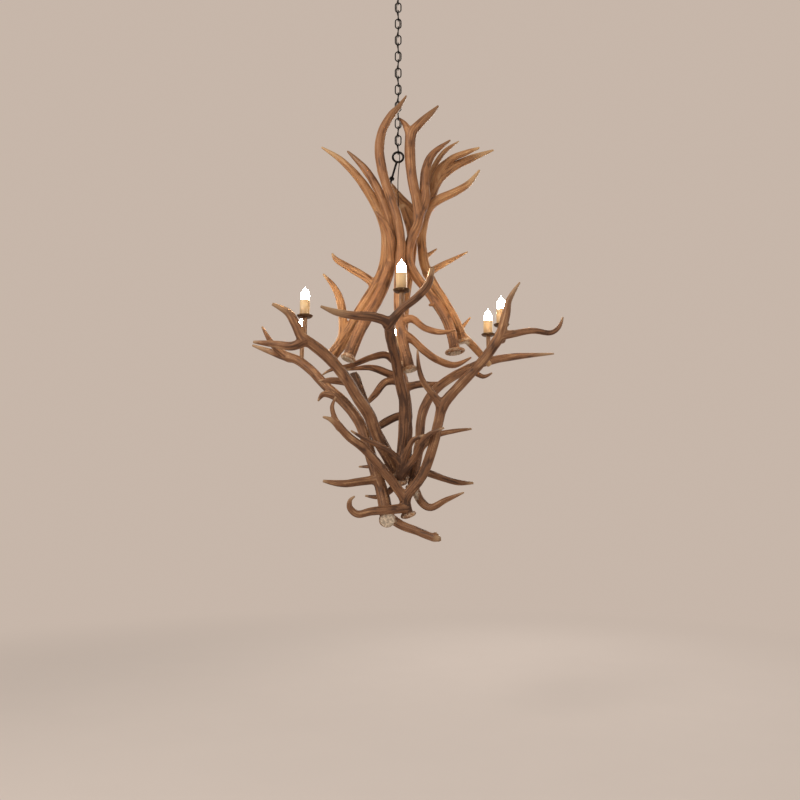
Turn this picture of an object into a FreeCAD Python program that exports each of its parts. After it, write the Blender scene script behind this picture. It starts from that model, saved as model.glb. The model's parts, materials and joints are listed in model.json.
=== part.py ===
"""Antler chandelier with six candle lamps, hung on a chain from a ceiling canopy.

Millimetres. Z points up and the front of the object faces -Y. The origin is the middle of the ceiling plate's
top face, where the object is fixed, and the chain hangs straight down from it along Z.
"""
import FreeCAD
import Part
import Sketcher
import math
import os
from FreeCAD import Matrix, Placement, Rotation, Vector

doc = FreeCAD.newDocument("antler_chandelier")

# ---------------------------------------------------------------- driving sizes
SIZES = [
    ("plate_length", 104, "ceiling plate, end to end"),
    ("plate_width", 22, "ceiling plate, across"),
    ("plate_thickness", 2.5, "ceiling plate"),
    ("slot_radius", 2.6, "screw slot in the ceiling plate, half its width"),
    ("slot_travel", 14, "screw slot, from one end's centre to the other's"),
    ("slot_spacing", 70, "between the middles of the two screw slots"),
    ("tube_radius", 5, "threaded tube through plate, canopy and loop"),
    ("tube_bore_radius", 3.4, "way for the cord through the threaded tube"),
    ("canopy_radius", 64, "canopy rim"),
    ("canopy_depth", 30, "ceiling to the canopy's lowest point"),
    ("canopy_wall", 1.5, "spun sheet of the canopy"),
    ("canopy_margin", 3, "flat land of the canopy outside the collar"),
    ("canopy_roll", 4, "step-in of the canopy above its straight rim"),
    ("collar_radius", 15, "collar of the canopy loop"),
    ("collar_height", 14, "collar of the canopy loop"),
    ("loop_drop", 29, "collar's underside to the middle of the loop's lowest wire"),
    ("loop_radius", 11.5, "bend of the canopy loop, at the middle of its wire"),
    ("loop_wire_radius", 2.8, "canopy loop"),
    ("link_count", 19, "chain links"),
    ("link_wire_radius", 2.5, "chain link"),
    ("link_inner_length", 36.8, "chain link, inside"),
    ("link_inner_width", 18, "chain link, inside"),
    ("link_play", 0.3, "gap between two links that bear on each other"),
    ("eye_wire_radius", 4.5, "hanging eye bolt's ring and shank"),
    ("eye_radius", 21, "hanging eye bolt's ring, at the middle of its wire"),
    ("eye_reach", 244, "middle of the ring to the end of the shank"),
    ("eye_tilt", 15.4, "lean of the eye bolt, in degrees"),
    ("nut_width", 17, "jam nut on the shank, across flats"),
    ("nut_height", 9, "jam nut on the shank"),
    ("nut_reach", 94, "middle of the ring to the middle of the jam nut"),
    ("cord_radius", 1.8, "supply cord"),
    ("burr_wire", 7, "half the thickness of an antler's burr"),
    ("pedicle", 9, "antler's sawn face to the middle of its burr"),
    ("tip_radius", 3, "thickness where a tine's tip begins, half of it"),
    ("beam_radius", 19, "thickness of a full beam, half of it"),
    ("fullness", 0.9, "how much a slim tine is filled out between tip and beam"),
    ("stem_radius", 9, "wooden stem that carries a candle"),
    ("stem_sink", 12, "depth that a stem sits in its antler"),
    ("dish_radius", 29, "candle dish, over its rim"),
    ("dish_rise", 8, "candle dish, from its underside to the top of its rim"),
    ("dish_wall", 2.2, "candle dish"),
    ("sleeve_radius", 18, "candle sleeve, outside"),
    ("sleeve_wall", 2.2, "candle sleeve"),
    ("sleeve_height", 62, "candle sleeve"),
    ("socket_radius", 14, "lamp socket"),
    ("socket_height", 50, "lamp socket"),
    ("cap_radius", 6.6, "bulb's screw cap"),
    ("cap_length", 22, "bulb's screw cap"),
    ("bulb_radius", 16, "bulb's glass"),
    ("bulb_height", 62, "bulb's glass, from the socket's top to the tip"),
    ("fit", 0.4, "slip clearance round a piece that is pushed in"),
    ("shift_right", -7.4, "all the antlers, so that their weight hangs under the chain"),
    ("shift_back", 11.6, "all the antlers, so that their weight hangs under the chain"),
]
sheet = doc.addObject("Spreadsheet::Sheet", "sizes")
for row, (alias, value, note) in enumerate(SIZES, start=1):
    sheet.set(f"A{row}", alias)
    sheet.set(f"B{row}", str(value))
    sheet.set(f"C{row}", note)
    sheet.setAlias(f"B{row}", alias)
doc.recompute()


def size(alias):
    """A driving size, read from the sheet."""
    return float(sheet.get(alias))


class Length:
    """A length with its formula: the number it has now, and the expression that an object is bound to."""

    def __init__(self, value, text):
        self.value = value
        self.text = text

    def __add__(self, other):
        other = as_length(other)
        return Length(self.value + other.value, f"({self.text} + {other.text})")

    def __sub__(self, other):
        other = as_length(other)
        return Length(self.value - other.value, f"({self.text} - {other.text})")

    def __mul__(self, factor):
        return Length(self.value * factor, f"({self.text} * {factor})")

    def __neg__(self):
        return self * -1


def as_length(what):
    """A length from a sheet alias, a plain number or a length."""
    if isinstance(what, Length):
        return what
    if isinstance(what, str):
        return Length(size(what), f"sizes.{what}")
    return Length(float(what), str(float(what)))


def bind(thing, **values):
    """Bind an object's properties to the sheet. at_x, at_y and at_z are its place."""
    for prop, what in values.items():
        prop = {"at_x": "Placement.Base.x", "at_y": "Placement.Base.y", "at_z": "Placement.Base.z"}.get(prop, prop)
        thing.setExpression(prop, as_length(what).text)
    return thing


def rod(name, radius, height, x=0, y=0, z=0):
    """An upright cylinder whose underside is at z."""
    return bind(doc.addObject("Part::Cylinder", name), Radius=radius, Height=height, at_x=x, at_y=y, at_z=z)


def hoop(name, radius, wire, turn=None, sweep=360, z=0):
    """A torus, or a part of one."""
    thing = doc.addObject("Part::Torus", name)
    thing.Angle3 = sweep
    thing.Placement.Rotation = turn or Rotation()
    return bind(thing, Radius1=radius, Radius2=wire, at_z=z)


def joined(name, pieces):
    """One solid from several that overlap."""
    thing = doc.addObject("Part::MultiFuse", name)
    thing.Shapes = pieces
    return thing


def cut_from(name, base, tool):
    """One solid with another taken out of it."""
    thing = doc.addObject("Part::Cut", name)
    thing.Base = base
    thing.Tool = tool
    return thing


def solid_feature(name, shape):
    """A piece whose shape is worked out here."""
    thing = doc.addObject("Part::Feature", name)
    thing.Shape = shape
    return thing


def sketch_on(body, plane):
    """A sketch on one of a body's own origin planes."""
    flat = [f for f in body.Origin.OriginFeatures if f.Role == plane][0]
    sketch = body.newObject("Sketcher::SketchObject", body.Name + "_outline")
    sketch.AttachmentSupport = [(flat, "")]
    sketch.MapMode = "FlatFace"
    return sketch


def place_point(sketch, corner, across, up):
    """Fix a corner of a sketch at two lengths from the axis and from the base line."""
    for kind, line, what in (("DistanceX", -2, across), ("DistanceY", -1, up)):
        if abs(what.value) < 1e-9:
            sketch.addConstraint(Sketcher.Constraint("PointOnObject", *corner, line))
            continue
        near, far = ((-1, 1), corner) if what.value > 0 else (corner, (-1, 1))
        number = sketch.addConstraint(Sketcher.Constraint(kind, *near, *far, abs(what.value)))
        sketch.setExpression(f"Constraints[{number}]", (what if what.value > 0 else -what).text)


def turned(name, outline):
    """A lathe-turned body. Each corner is (radius, height), and a third value makes the way to it an arc.

    The arc's value is its radius. It is positive where the arc bulges to the right of the way to the corner.
    """
    body = doc.addObject("PartDesign::Body", name)
    sketch = sketch_on(body, "XZ_Plane")
    places = [(as_length(p[0]), as_length(p[1])) for p in outline]
    corners = [Vector(r.value, h.value, 0) for r, h in places]
    ends = []
    for i, here in enumerate(corners):
        j = (i + 1) % len(corners)
        there = corners[j]
        if len(outline[j]) < 3:
            sketch.addGeometry(Part.LineSegment(here, there))
            ends.append((1, 2))
            continue
        radius = as_length(outline[j][2])
        chord = there - here
        across = Vector(chord.y, -chord.x, 0).normalize()
        depth = abs(radius.value) - math.sqrt(radius.value ** 2 - chord.Length ** 2 / 4)
        middle = here + chord * 0.5 + across * math.copysign(depth, radius.value)
        bulges_right = radius.value > 0
        first, last = (here, there) if bulges_right else (there, here)
        sketch.addGeometry(Part.Arc(first, middle, last))
        ends.append((1, 2) if bulges_right else (2, 1))
    for i, (across, up) in enumerate(places):
        before = (i - 1) % len(places)
        sketch.addConstraint(Sketcher.Constraint("Coincident", before, ends[before][1], i, ends[i][0]))
        place_point(sketch, (i, ends[i][0]), across, up)
    for i, corner in enumerate(outline):
        if len(corner) > 2:
            radius = as_length(corner[2])
            before = (i - 1) % len(outline)
            number = sketch.addConstraint(Sketcher.Constraint("Radius", before, abs(radius.value)))
            sketch.setExpression(f"Constraints[{number}]", (radius if radius.value > 0 else -radius).text)
    turn = body.newObject("PartDesign::Revolution", name + "_turn")
    turn.Profile = sketch
    turn.ReferenceAxis = (sketch, ["V_Axis"])
    turn.Angle = 360
    body.Tip = turn
    return body


# ---------------------------------------------------------------- antlers
# Each branch is a list of (x, y, z, radius) along its middle. "beam" runs from the burr to the top; the other
# branches are tines, each of which starts inside its beam. "burr" is the outer radius of the ring at the base,
# and "girth" thickens or thins the whole antler.
ANTLERS = {
    "right_front_arm": {
        "girth": 0.95,
        "burr": 31,
        "beam": [(48, -40, -2200, 21), (34, -52, -2153, 22), (44, -62, -2117, 19), (95, -84, -2052, 18),
                 (130, -108, -1960, 18), (155, -130, -1860, 19), (173, -142, -1797, 21), (230, -158, -1730, 17.5),
                 (300, -178, -1657, 16.5), (354, -196, -1588, 16.5), (379, -209, -1539, 15.5),
                 (395, -216, -1479, 13.5), (404, -220, -1436, 9.5), (422, -226, -1401, 6.5), (447, -232, -1364, 3)],
        "crown": [(375, -205, -1557, 14.5), (421, -208, -1550, 11.5), (492, -212, -1540, 8.5),
                  (552, -214, -1548, 7.5), (585, -215, -1526, 6), (600, -216, -1488, 3)],
        "seat": [(360, -198, -1578, 14), (374, -180, -1566, 13), (388, -158, -1560, 12)],
        "trez": [(166, -140, -1804, 16.5), (126, -152, -1751, 10.5), (99, -162, -1716, 8.5), (83, -170, -1666, 7),
                 (78, -178, -1598, 3)],
        "brow": [(34, -56, -2167, 17), (-25, -86, -2174, 14.5), (-88, -96, -2180, 12.5), (-136, -102, -2189, 11.5),
                 (-164, -112, -2168, 9.5), (-164, -118, -2141, 6), (-146, -122, -2125, 3)],
        "bez": [(30, -58, -2131, 17.5), (-11, -78, -2074, 15.5), (-54, -104, -2023, 15.5), (-111, -126, -1958, 14.5),
                (-168, -145, -1915, 12.5), (-210, -160, -1871, 10.5), (-235, -168, -1854, 6.5),
                (-261, -176, -1846, 3.5)],
        "bez_fork": [(-203, -156, -1882, 9), (-221, -166, -1843, 7.5), (-228, -174, -1808, 6), (-213, -182, -1772, 3)],
    },
    "front_arm": {
        "girth": 0.97,
        "burr": 27,
        "beam": [(17, -35, -2080, 19.5), (18, -70, -1996, 19.5), (27, -92, -1893, 19), (29, -112, -1792, 19),
                 (13, -144, -1709, 19), (-3, -210, -1634, 18), (-18, -325, -1586, 18), (-26, -398, -1559, 16),
                 (-71, -425, -1546, 13), (-132, -448, -1547, 11), (-189, -470, -1543, 9), (-244, -492, -1527, 3.5)],
        "fork": [(-24, -395, -1565, 15.5), (19, -424, -1520, 12), (73, -455, -1485, 11), (108, -480, -1447, 10),
                 (119, -505, -1402, 6)],
        "brow": [(15, -72, -2001, 13), (-22, -106, -1965, 9), (-68, -130, -1942, 8), (-118, -152, -1919, 6),
                 (-163, -168, -1893, 3)],
        "bez": [(22, -62, -2022, 12), (40, -98, -1966, 9), (62, -118, -1924, 7.5), (104, -140, -1907, 3)],
        "trez": [(22, -55, -2044, 13), (73, -92, -1977, 11), (96, -124, -1932, 10), (125, -150, -1903, 7),
                 (175, -172, -1884, 3)],
    },
    "left_front_arm": {
        "girth": 1.1,
        "burr": 28,
        "beam": [(7, -4, -2044, 21), (-30, -30, -1976, 21), (-67, -58, -1911, 21), (-99, -88, -1829, 21),
                 (-142, -118, -1764, 20), (-188, -148, -1691, 19), (-248, -172, -1626, 19), (-304, -192, -1583, 18),
                 (-337, -206, -1561, 17), (-360, -216, -1516, 13), (-386, -226, -1476, 10.5),
                 (-444, -244, -1448, 3.5)],
        "back_fork": [(-325, -202, -1575, 15.5), (-375, -196, -1593, 12.5), (-441, -190, -1584, 9),
                      (-519, -184, -1574, 3.5)],
    },
    "left_back_arm": {
        "girth": 1.1,
        "burr": 32,
        "beam": [(-30, -84, -2212, 24), (-35, -50, -2198, 22), (-42, -32, -2149, 22), (-56, -20, -2093, 21),
                 (-79, 0, -2026, 20), (-107, 28, -1933, 20), (-147, 58, -1830, 19), (-204, 88, -1755, 19),
                 (-279, 118, -1686, 18), (-343, 148, -1616, 18), (-404, 178, -1567, 17), (-477, 198, -1542, 12.5),
                 (-602, 222, -1494, 3.5)],
        "up": [(-440, 190, -1555, 12), (-503, 178, -1506, 9.5), (-552, 162, -1427, 3)],
        "side": [(-228, 98, -1733, 12), (-284, 98, -1720, 8.5), (-309, 94, -1750, 3)],
        "bez": [(-63, -14, -2060, 13.5), (-133, -30, -2070, 11), (-202, -46, -2078, 9.5), (-273, -60, -2068, 3.5)],
        "brow": [(-34, -48, -2192, 17), (18, -52, -2228, 13), (72, -72, -2248, 11.5), (129, -92, -2270, 10.5),
                 (157, -100, -2277, 7.5)],
        "knob": [(138, -95, -2271, 8.5), (147, -98, -2256, 5)],
    },
    "right_back_arm": {
        "girth": 0.93,
        "burr": 28,
        "beam": [(60, -34, -2102, 20), (71, -12, -2026, 19), (87, 16, -1934, 18), (99, 42, -1816, 18),
                 (136, 70, -1730, 17.5), (201, 104, -1665, 17.5), (288, 142, -1611, 16.5), (373, 178, -1573, 15.5),
                 (485, 214, -1545, 12.5), (665, 262, -1522, 3.5)],
        "nub": [(295, 145, -1609, 11), (346, 128, -1644, 7.5), (385, 114, -1631, 3)],
        "trez": [(84, 14, -1949, 12), (147, 6, -1897, 9.5), (211, -6, -1880, 7.5), (289, -18, -1871, 3.5)],
        "brow": [(64, -26, -2082, 15), (92, -24, -2140, 14.5), (129, -34, -2165, 11.5), (183, -52, -2138, 8.5),
                 (251, -76, -2110, 3)],
    },
    "back_arm": {
        "girth": 1.04,
        "burr": 30,
        "beam": [(26, 66, -2064, 21), (38, 82, -1975, 21), (44, 104, -1879, 20), (43, 138, -1772, 20),
                 (31, 190, -1666, 18.5), (20, 258, -1590, 18.5), (12, 330, -1552, 17.5), (8, 395, -1538, 16.5),
                 (0, 450, -1504, 12.5), (-16, 484, -1440, 3.5)],
        "long_left": [(20, 250, -1596, 15.5), (-35, 236, -1536, 12.5), (-100, 214, -1547, 10.5), (-185, 190, -1587, 8),
                      (-261, 172, -1607, 5.5), (-304, 162, -1634, 2.5)],
        "mid_left": [(26, 212, -1642, 16), (-42, 196, -1615, 13.5), (-111, 178, -1598, 9.5), (-211, 156, -1613, 3)],
        "down_left": [(28, 200, -1656, 14), (-42, 184, -1656, 12.5), (-86, 164, -1711, 10.5), (-125, 148, -1758, 5)],
        "low_left": [(43, 128, -1805, 15.5), (-5, 118, -1810, 13.5), (-63, 104, -1844, 11.5), (-114, 92, -1881, 6)],
        "right": [(34, 185, -1680, 15), (92, 176, -1668, 12.5), (148, 160, -1671, 8.5), (200, 148, -1665, 4)],
        "bez_right": [(32, 74, -2020, 14.5), (94, 36, -2026, 12.5), (178, 40, -2054, 9.5), (239, 48, -2070, 8),
                      (299, 42, -2072, 3.5)],
        "brow_left": [(30, 74, -2030, 12.5), (-43, 84, -2009, 9.5), (-149, 108, -2006, 3)],
        "base_left": [(26, 67, -2050, 12.5), (-50, 76, -2119, 8.5), (-123, 82, -2119, 3)],
    },
    "short_arm": {
        "girth": 1.08,
        "burr": 0,
        "beam": [(-163, 6, -1660, 14), (-158, 5, -1676, 20), (-141, 0, -1722, 19), (-110, -4, -1799, 18),
                 (-72, 4, -1882, 18), (-31, 18, -1957, 18), (7, 30, -2024, 17), (26, 37, -2066, 14)],
        "left": [(-151, 3, -1696, 13.5), (-207, 6, -1686, 10.5), (-253, 8, -1682, 8.5), (-299, 10, -1683, 3)],
    },
    "upper_front": {
        "girth": 0.98,
        "burr": 32,
        "beam": [(51, -152, -1678, 20), (40, -146, -1621, 20), (24, -134, -1551, 19), (13, -116, -1448, 20),
                 (11, -104, -1352, 20), (15, -92, -1247, 20), (17, -84, -1157, 19), (5, -80, -1067, 19),
                 (-20, -78, -982, 18), (-47, -76, -895, 17.5), (-65, -76, -796, 18), (-57, -78, -714, 16.5),
                 (-24, -80, -644, 12.5), (11, -84, -604, 8), (42, -88, -558, 3)],
        "bez": [(18, -120, -1485, 14), (59, -128, -1474, 12), (107, -134, -1511, 10), (165, -138, -1527, 8),
                (222, -140, -1520, 3)],
        "brow": [(24, -128, -1530, 16), (59, -134, -1553, 12.5), (106, -138, -1599, 12), (159, -106, -1627, 11),
                 (220, -76, -1638, 9), (286, -52, -1603, 3)],
    },
    "upper_left_front": {
        "girth": 1.08,
        "burr": 30,
        "beam": [(-178, -136, -1632, 21), (-154, -124, -1565, 21), (-123, -108, -1490, 21), (-83, -86, -1409, 21),
                 (-50, -64, -1332, 21), (-24, -48, -1248, 21), (-10, -37, -1171, 20), (-14, -33, -1097, 19),
                 (-40, -34, -1007, 18), (-80, -26, -907, 13.5), (-132, -16, -823, 10.5), (-198, -6, -749, 3)],
        "front": [(-16, -48, -1232, 15), (-16, -84, -1178, 14), (-28, -96, -1124, 11.5), (-50, -106, -1086, 8.5),
                  (-82, -112, -1046, 2.5)],
    },
    "upper_right_front": {
        "girth": 0.96,
        "burr": 40,
        "beam": [(225, -40, -1587, 22), (216, -34, -1523, 20.5), (197, -24, -1458, 20.5), (165, -12, -1396, 20.5),
                 (119, -16, -1329, 19.5), (73, -46, -1278, 20), (47, -70, -1221, 20), (57, -66, -1147, 20.5),
                 (85, -50, -1071, 20.5), (79, -48, -981, 20), (60, -48, -865, 21), (54, -50, -766, 22.5),
                 (62, -52, -700, 20.5), (98, -56, -656, 14), (133, -60, -624, 10), (169, -64, -588, 3.5)],
        "top_left": [(57, -51, -714, 15), (37, -50, -665, 9.5), (11, -48, -632, 3)],
        "spur": [(158, -13, -1380, 11), (126, -26, -1394, 4)],
        "right": [(88, -47, -1050, 19), (113, -34, -966, 21), (111, -28, -897, 20), (118, -22, -832, 16),
                  (148, -16, -766, 11.5), (219, -8, -704, 3.5)],
    },
    "upper_left_back": {
        "girth": 1.07,
        "burr": 34,
        "beam": [(-263, 98, -1572, 23), (-223, 86, -1527, 22), (-179, 70, -1462, 23), (-135, 56, -1385, 24),
                 (-87, 34, -1314, 23), (-52, 14, -1247, 22), (-38, -1, -1174, 21), (-41, -6, -1093, 20),
                 (-62, 1, -1014, 19), (-102, -1, -936, 17), (-156, -6, -858, 12.5), (-224, -12, -789, 8.5),
                 (-301, -18, -739, 3)],
        "brow": [(-226, 86, -1532, 16), (-212, 72, -1478, 13.5), (-212, 64, -1415, 13.5), (-222, 58, -1352, 12.5),
                 (-247, 54, -1296, 8.5), (-293, 50, -1241, 3)],
        "bez": [(-78, 28, -1300, 16), (-127, 44, -1256, 12.5), (-197, 64, -1208, 10.5), (-242, 72, -1176, 7.5),
                (-260, 76, -1147, 2.5)],
    },
    "upper_right_back": {
        "girth": 0.96,
        "burr": 31,
        "beam": [(258, 38, -1530, 19.5), (241, 32, -1464, 19.5), (210, 10, -1409, 19.5), (179, 5, -1354, 19.5),
                 (146, 10, -1298, 19.5), (115, 20, -1225, 19.5), (102, 20, -1143, 19.5), (104, 18, -1069, 19.5),
                 (126, 14, -992, 19.5), (166, 10, -951, 17.5), (237, 4, -918, 13.5), (289, 0, -885, 10),
                 (335, -4, -828, 3.5)],
        "spur": [(106, 22, -1190, 10), (164, 44, -1140, 2.5)],
        "bez": [(122, 20, -1253, 13.5), (181, 34, -1212, 9.5), (288, 52, -1150, 3)],
        "brow": [(247, 34, -1487, 15.5), (294, 60, -1525, 13.5), (332, 92, -1558, 12.5), (376, 134, -1597, 8.5)],
        "nub": [(246, 34, -1480, 10), (270, 52, -1449, 6), (296, 66, -1415, 2.5)],
    },
    "upper_back": {
        "girth": 0.97,
        "burr": 31,
        "beam": [(32, 222, -1578, 21), (28, 192, -1491, 21), (30, 150, -1392, 21), (39, 108, -1296, 21),
                 (55, 74, -1207, 21), (65, 58, -1130, 21), (67, 52, -1048, 21), (96, 56, -979, 20),
                 (136, 62, -912, 20.5), (174, 62, -839, 20), (235, 66, -783, 17), (310, 72, -743, 12),
                 (404, 80, -702, 3.5)],
        "second": [(145, 62, -896, 18), (165, 48, -820, 15.5), (217, 40, -766, 11.5), (282, 34, -738, 9),
                   (341, 28, -718, 3.5)],
        "third": [(122, 62, -932, 14.5), (134, 84, -837, 11.5), (160, 100, -760, 9.5), (202, 112, -692, 7.5),
                  (264, 122, -641, 2.5)],
        "palm": [(66, 52, -1075, 20), (50, 54, -1015, 22), (30, 56, -955, 20)],
        "left": [(80, 54, -1010, 19), (50, 56, -965, 21), (20, 56, -935, 22), (-12, 58, -893, 19),
                 (-46, 58, -850, 15), (-76, 52, -800, 4)],
    },
}
STEPS_PER_SPAN = 2


def smooth(points, steps):
    """Catmull-Rom points through a branch's points, with its radii."""
    ends = [points[0]] + points + [points[-1]]
    out = []
    for i in range(1, len(ends) - 2):
        a, b, c, d = ends[i - 1:i + 3]
        for k in range(steps):
            t = k / steps
            out.append([0.5 * (2 * q + (r - p) * t + (2 * p - 5 * q + 4 * r - s) * t * t
                               + (3 * q - p - 3 * r + s) * t ** 3) for p, q, r, s in zip(a, b, c, d)])
    return out + [list(points[-1])]


def frames(middles):
    """A turning frame for each point: its tangent and a side vector that doesn't twist."""
    out = []
    side = None
    for i, here in enumerate(middles):
        tangent = (middles[min(i + 1, len(middles) - 1)] - middles[max(i - 1, 0)]).normalize()
        if side is None:
            side = tangent.cross(Vector(0, 1, 0) if abs(tangent.y) < 0.8 else Vector(1, 0, 0))
        side = (side - tangent * side.dot(tangent)).normalize()
        out.append((here, tangent, Vector(side)))
    return out


def ring_wire(middle, tangent, side, radius):
    """A circle across a branch."""
    other = tangent.cross(side)
    turn = Matrix(side.x, other.x, tangent.x, middle.x, side.y, other.y, tangent.y, middle.y,
                  side.z, other.z, tangent.z, middle.z, 0, 0, 0, 1)
    circle = Part.makeCircle(radius)
    circle.Placement = Placement(turn)
    return Part.Wire(circle)


def branch(points):
    """A tapered round solid along a branch."""
    line = smooth(points, STEPS_PER_SPAN)
    middles = [Vector(*p[:3]) for p in line]
    wires = [ring_wire(*frame, p[3]) for frame, p in zip(frames(middles), line)]
    return Part.makeLoft(wires, True, False)


def filled(radius):
    """A branch's radius, made fuller where it is slim. Tips and full beams stay as they are."""
    tip, beam = size("tip_radius"), size("beam_radius")
    if not tip < radius < beam:
        return radius
    return radius + size("fullness") * (radius - tip) * (1 - radius / beam)


def antler(spec):
    """One antler: its beam with its burr, and its tines."""
    branches = {name: [(x + size("shift_right"), y + size("shift_back"), z, filled(r * spec["girth"]))
                       for x, y, z, r in points]
                for name, points in spec.items() if name not in ("burr", "girth")}
    beam = branches.pop("beam")
    more = [branch(points) for points in branches.values()]
    if spec["burr"]:
        start, following = (Vector(*p[:3]) for p in beam[:2])
        axis = (following - start).normalize()
        wire = size("burr_wire")
        middle = start + axis * size("pedicle")
        more.append(Part.makeTorus(spec["burr"] - wire, wire, middle, axis))
        more.append(Part.makeCylinder(spec["burr"] - wire, 2 * wire, middle - axis * wire, axis))
    return branch(beam).fuse(more)


# ---------------------------------------------------------------- where things are
# Each candle: its place, the height of its dish's underside and the height where its stem meets the antler.
CANDLES = {
    "front": ("front_arm", 20, -424, -1461, -1513),
    "right_front": ("right_front_arm", 386, -161, -1512, -1553),
    "right_back": ("right_back_arm", 378, 181, -1466, -1561),
    "back": ("back_arm", 7, 405, -1478, -1521),
    "left_back": ("left_back_arm", -385, 168, -1500, -1567),
    "left_front": ("left_front_arm", -328, -204, -1490, -1549),
}
# Antlers that meet: the first is notched to fit the others.
NOTCHES = {
    "front_arm": ["right_front_arm", "left_front_arm"],
    "left_back_arm": ["right_front_arm"],
    "right_back_arm": ["right_front_arm"],
    "short_arm": ["left_front_arm", "back_arm"],
    "upper_front": ["front_arm", "right_front_arm"],
    "upper_left_front": ["upper_front", "upper_left_back"],
    "upper_right_front": ["upper_front"],
    "upper_right_back": ["upper_right_front"],
    "upper_back": ["back_arm"],
}

pieces = {}


def keep(name, thing):
    """Give a finished piece its name."""
    thing.Label = name
    pieces[name] = thing
    return thing


# ---------------------------------------------------------------- ceiling fitting
half_slot = as_length("slot_travel") * 0.5
plate = doc.addObject("PartDesign::Body", "ceiling_plate")
outline = sketch_on(plate, "XY_Plane")
half_length, half_width = as_length("plate_length") * 0.5, as_length("plate_width") * 0.5
corners = [(-half_length, -half_width), (half_length, -half_width), (half_length, half_width),
           (-half_length, half_width)]
for i, (across, up) in enumerate(corners):
    there = corners[(i + 1) % 4]
    start, stop = (Vector(a.value, b.value, 0) for a, b in ((across, up), there))
    outline.addGeometry(Part.LineSegment(start, stop))
for i, (across, up) in enumerate(corners):
    outline.addConstraint(Sketcher.Constraint("Coincident", (i - 1) % 4, 2, i, 1))
    place_point(outline, (i, 1), across, up)
blank = plate.newObject("PartDesign::Pad", "plate_blank")
blank.Profile = outline
blank.Reversed = True
blank.setExpression("Length", "sizes.plate_thickness")
plate.Tip = blank


def plate_hole(name, radius, x, half_travel=None):
    """A round hole or a slot through the ceiling plate."""
    sketch = plate.newObject("Sketcher::SketchObject", name + "_outline")
    flat = [f for f in plate.Origin.OriginFeatures if f.Role == "XY_Plane"][0]
    sketch.AttachmentSupport = [(flat, "")]
    sketch.MapMode = "FlatFace"
    if half_travel is None:
        sketch.addGeometry(Part.Circle(Vector(x.value, 0, 0), Vector(0, 0, 1), radius.value))
        place_point(sketch, (0, 3), x, as_length(0))
        number = sketch.addConstraint(Sketcher.Constraint("Radius", 0, radius.value))
        sketch.setExpression(f"Constraints[{number}]", radius.text)
    else:
        left, right = x - half_travel, x + half_travel
        r = radius.value
        up = Vector(0, r, 0)
        first, last = Vector(left.value, 0, 0), Vector(right.value, 0, 0)
        sketch.addGeometry(Part.Arc(first + up, first - Vector(r, 0, 0), first - up))
        sketch.addGeometry(Part.LineSegment(first - up, last - up))
        sketch.addGeometry(Part.Arc(last - up, last + Vector(r, 0, 0), last + up))
        sketch.addGeometry(Part.LineSegment(last + up, first + up))
        for i in range(4):
            sketch.addConstraint(Sketcher.Constraint("Coincident", i, 2, (i + 1) % 4, 1))
        place_point(sketch, (0, 3), left, as_length(0))
        place_point(sketch, (2, 3), right, as_length(0))
        for arc in (0, 2):
            number = sketch.addConstraint(Sketcher.Constraint("Radius", arc, r))
            sketch.setExpression(f"Constraints[{number}]", radius.text)
            sketch.addConstraint(Sketcher.Constraint("Vertical", arc, 1, arc, 3))
            sketch.addConstraint(Sketcher.Constraint("Vertical", arc, 2, arc, 3))
    pocket = plate.newObject("PartDesign::Pocket", name)
    pocket.Profile = sketch
    pocket.Type = "ThroughAll"
    pocket.Midplane = True
    plate.Tip = pocket


plate_hole("tube_hole", as_length("tube_radius"), as_length(0))
half_spacing = as_length("slot_spacing") * 0.5
plate_hole("left_slot", as_length("slot_radius"), -half_spacing, half_slot)
plate_hole("right_slot", as_length("slot_radius"), half_spacing, half_slot)
keep("ceiling_plate", plate)

canopy_r, canopy_d, wall = (as_length(a) for a in ("canopy_radius", "canopy_depth", "canopy_wall"))
canopy_land = as_length("collar_radius") + "canopy_margin"
canopy_lip = canopy_r - "canopy_roll"
keep("ceiling_canopy", turned("ceiling_canopy", [
    ("tube_radius", -canopy_d),
    (canopy_land, -canopy_d),
    (canopy_lip, -canopy_d * 0.4, canopy_r * 0.9),
    (canopy_r, -canopy_d * 0.3),
    (canopy_r, 0),
    (canopy_r - wall, 0),
    (canopy_r - wall, -canopy_d * 0.3 + wall * 0.5),
    (canopy_lip - wall, -canopy_d * 0.4 + wall * 0.5),
    (canopy_land, -canopy_d + wall, -canopy_r * 0.88),
    ("tube_radius", -canopy_d + wall),
]))

collar_top = -canopy_d
collar_foot = collar_top - "collar_height"
thread_depth = as_length("collar_height") * 0.6
tube_length = canopy_d + thread_depth
keep("canopy_tube", cut_from(
    "canopy_tube",
    rod("tube_blank", "tube_radius", tube_length, z=-tube_length),
    rod("tube_bore", "tube_bore_radius", tube_length, z=-tube_length)))

loop_wire, loop_r = as_length("loop_wire_radius"), as_length("loop_radius")
loop_low = collar_foot - "loop_drop"
bend_z = loop_low + loop_r
leg = collar_foot - bend_z + 2
downward = Rotation(Vector(1, 0, 0), -90)
upward = Rotation(Vector(1, 0, 0), 90)
keep("canopy_loop", cut_from(
    "canopy_loop",
    joined("loop_blank", [
        rod("collar", "collar_radius", "collar_height", z=collar_foot),
        rod("loop_leg_left", loop_wire, leg, x=-loop_r, z=bend_z),
        rod("loop_leg_right", loop_wire, leg, x=loop_r, z=bend_z),
        hoop("loop_bend", loop_r, loop_wire, downward, 180, z=bend_z),
    ]),
    joined("collar_ways", [
        rod("collar_thread", "tube_radius", thread_depth, z=collar_top - thread_depth),
        rod("collar_way", "tube_bore_radius", "collar_height", z=collar_foot),
    ])))

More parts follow.
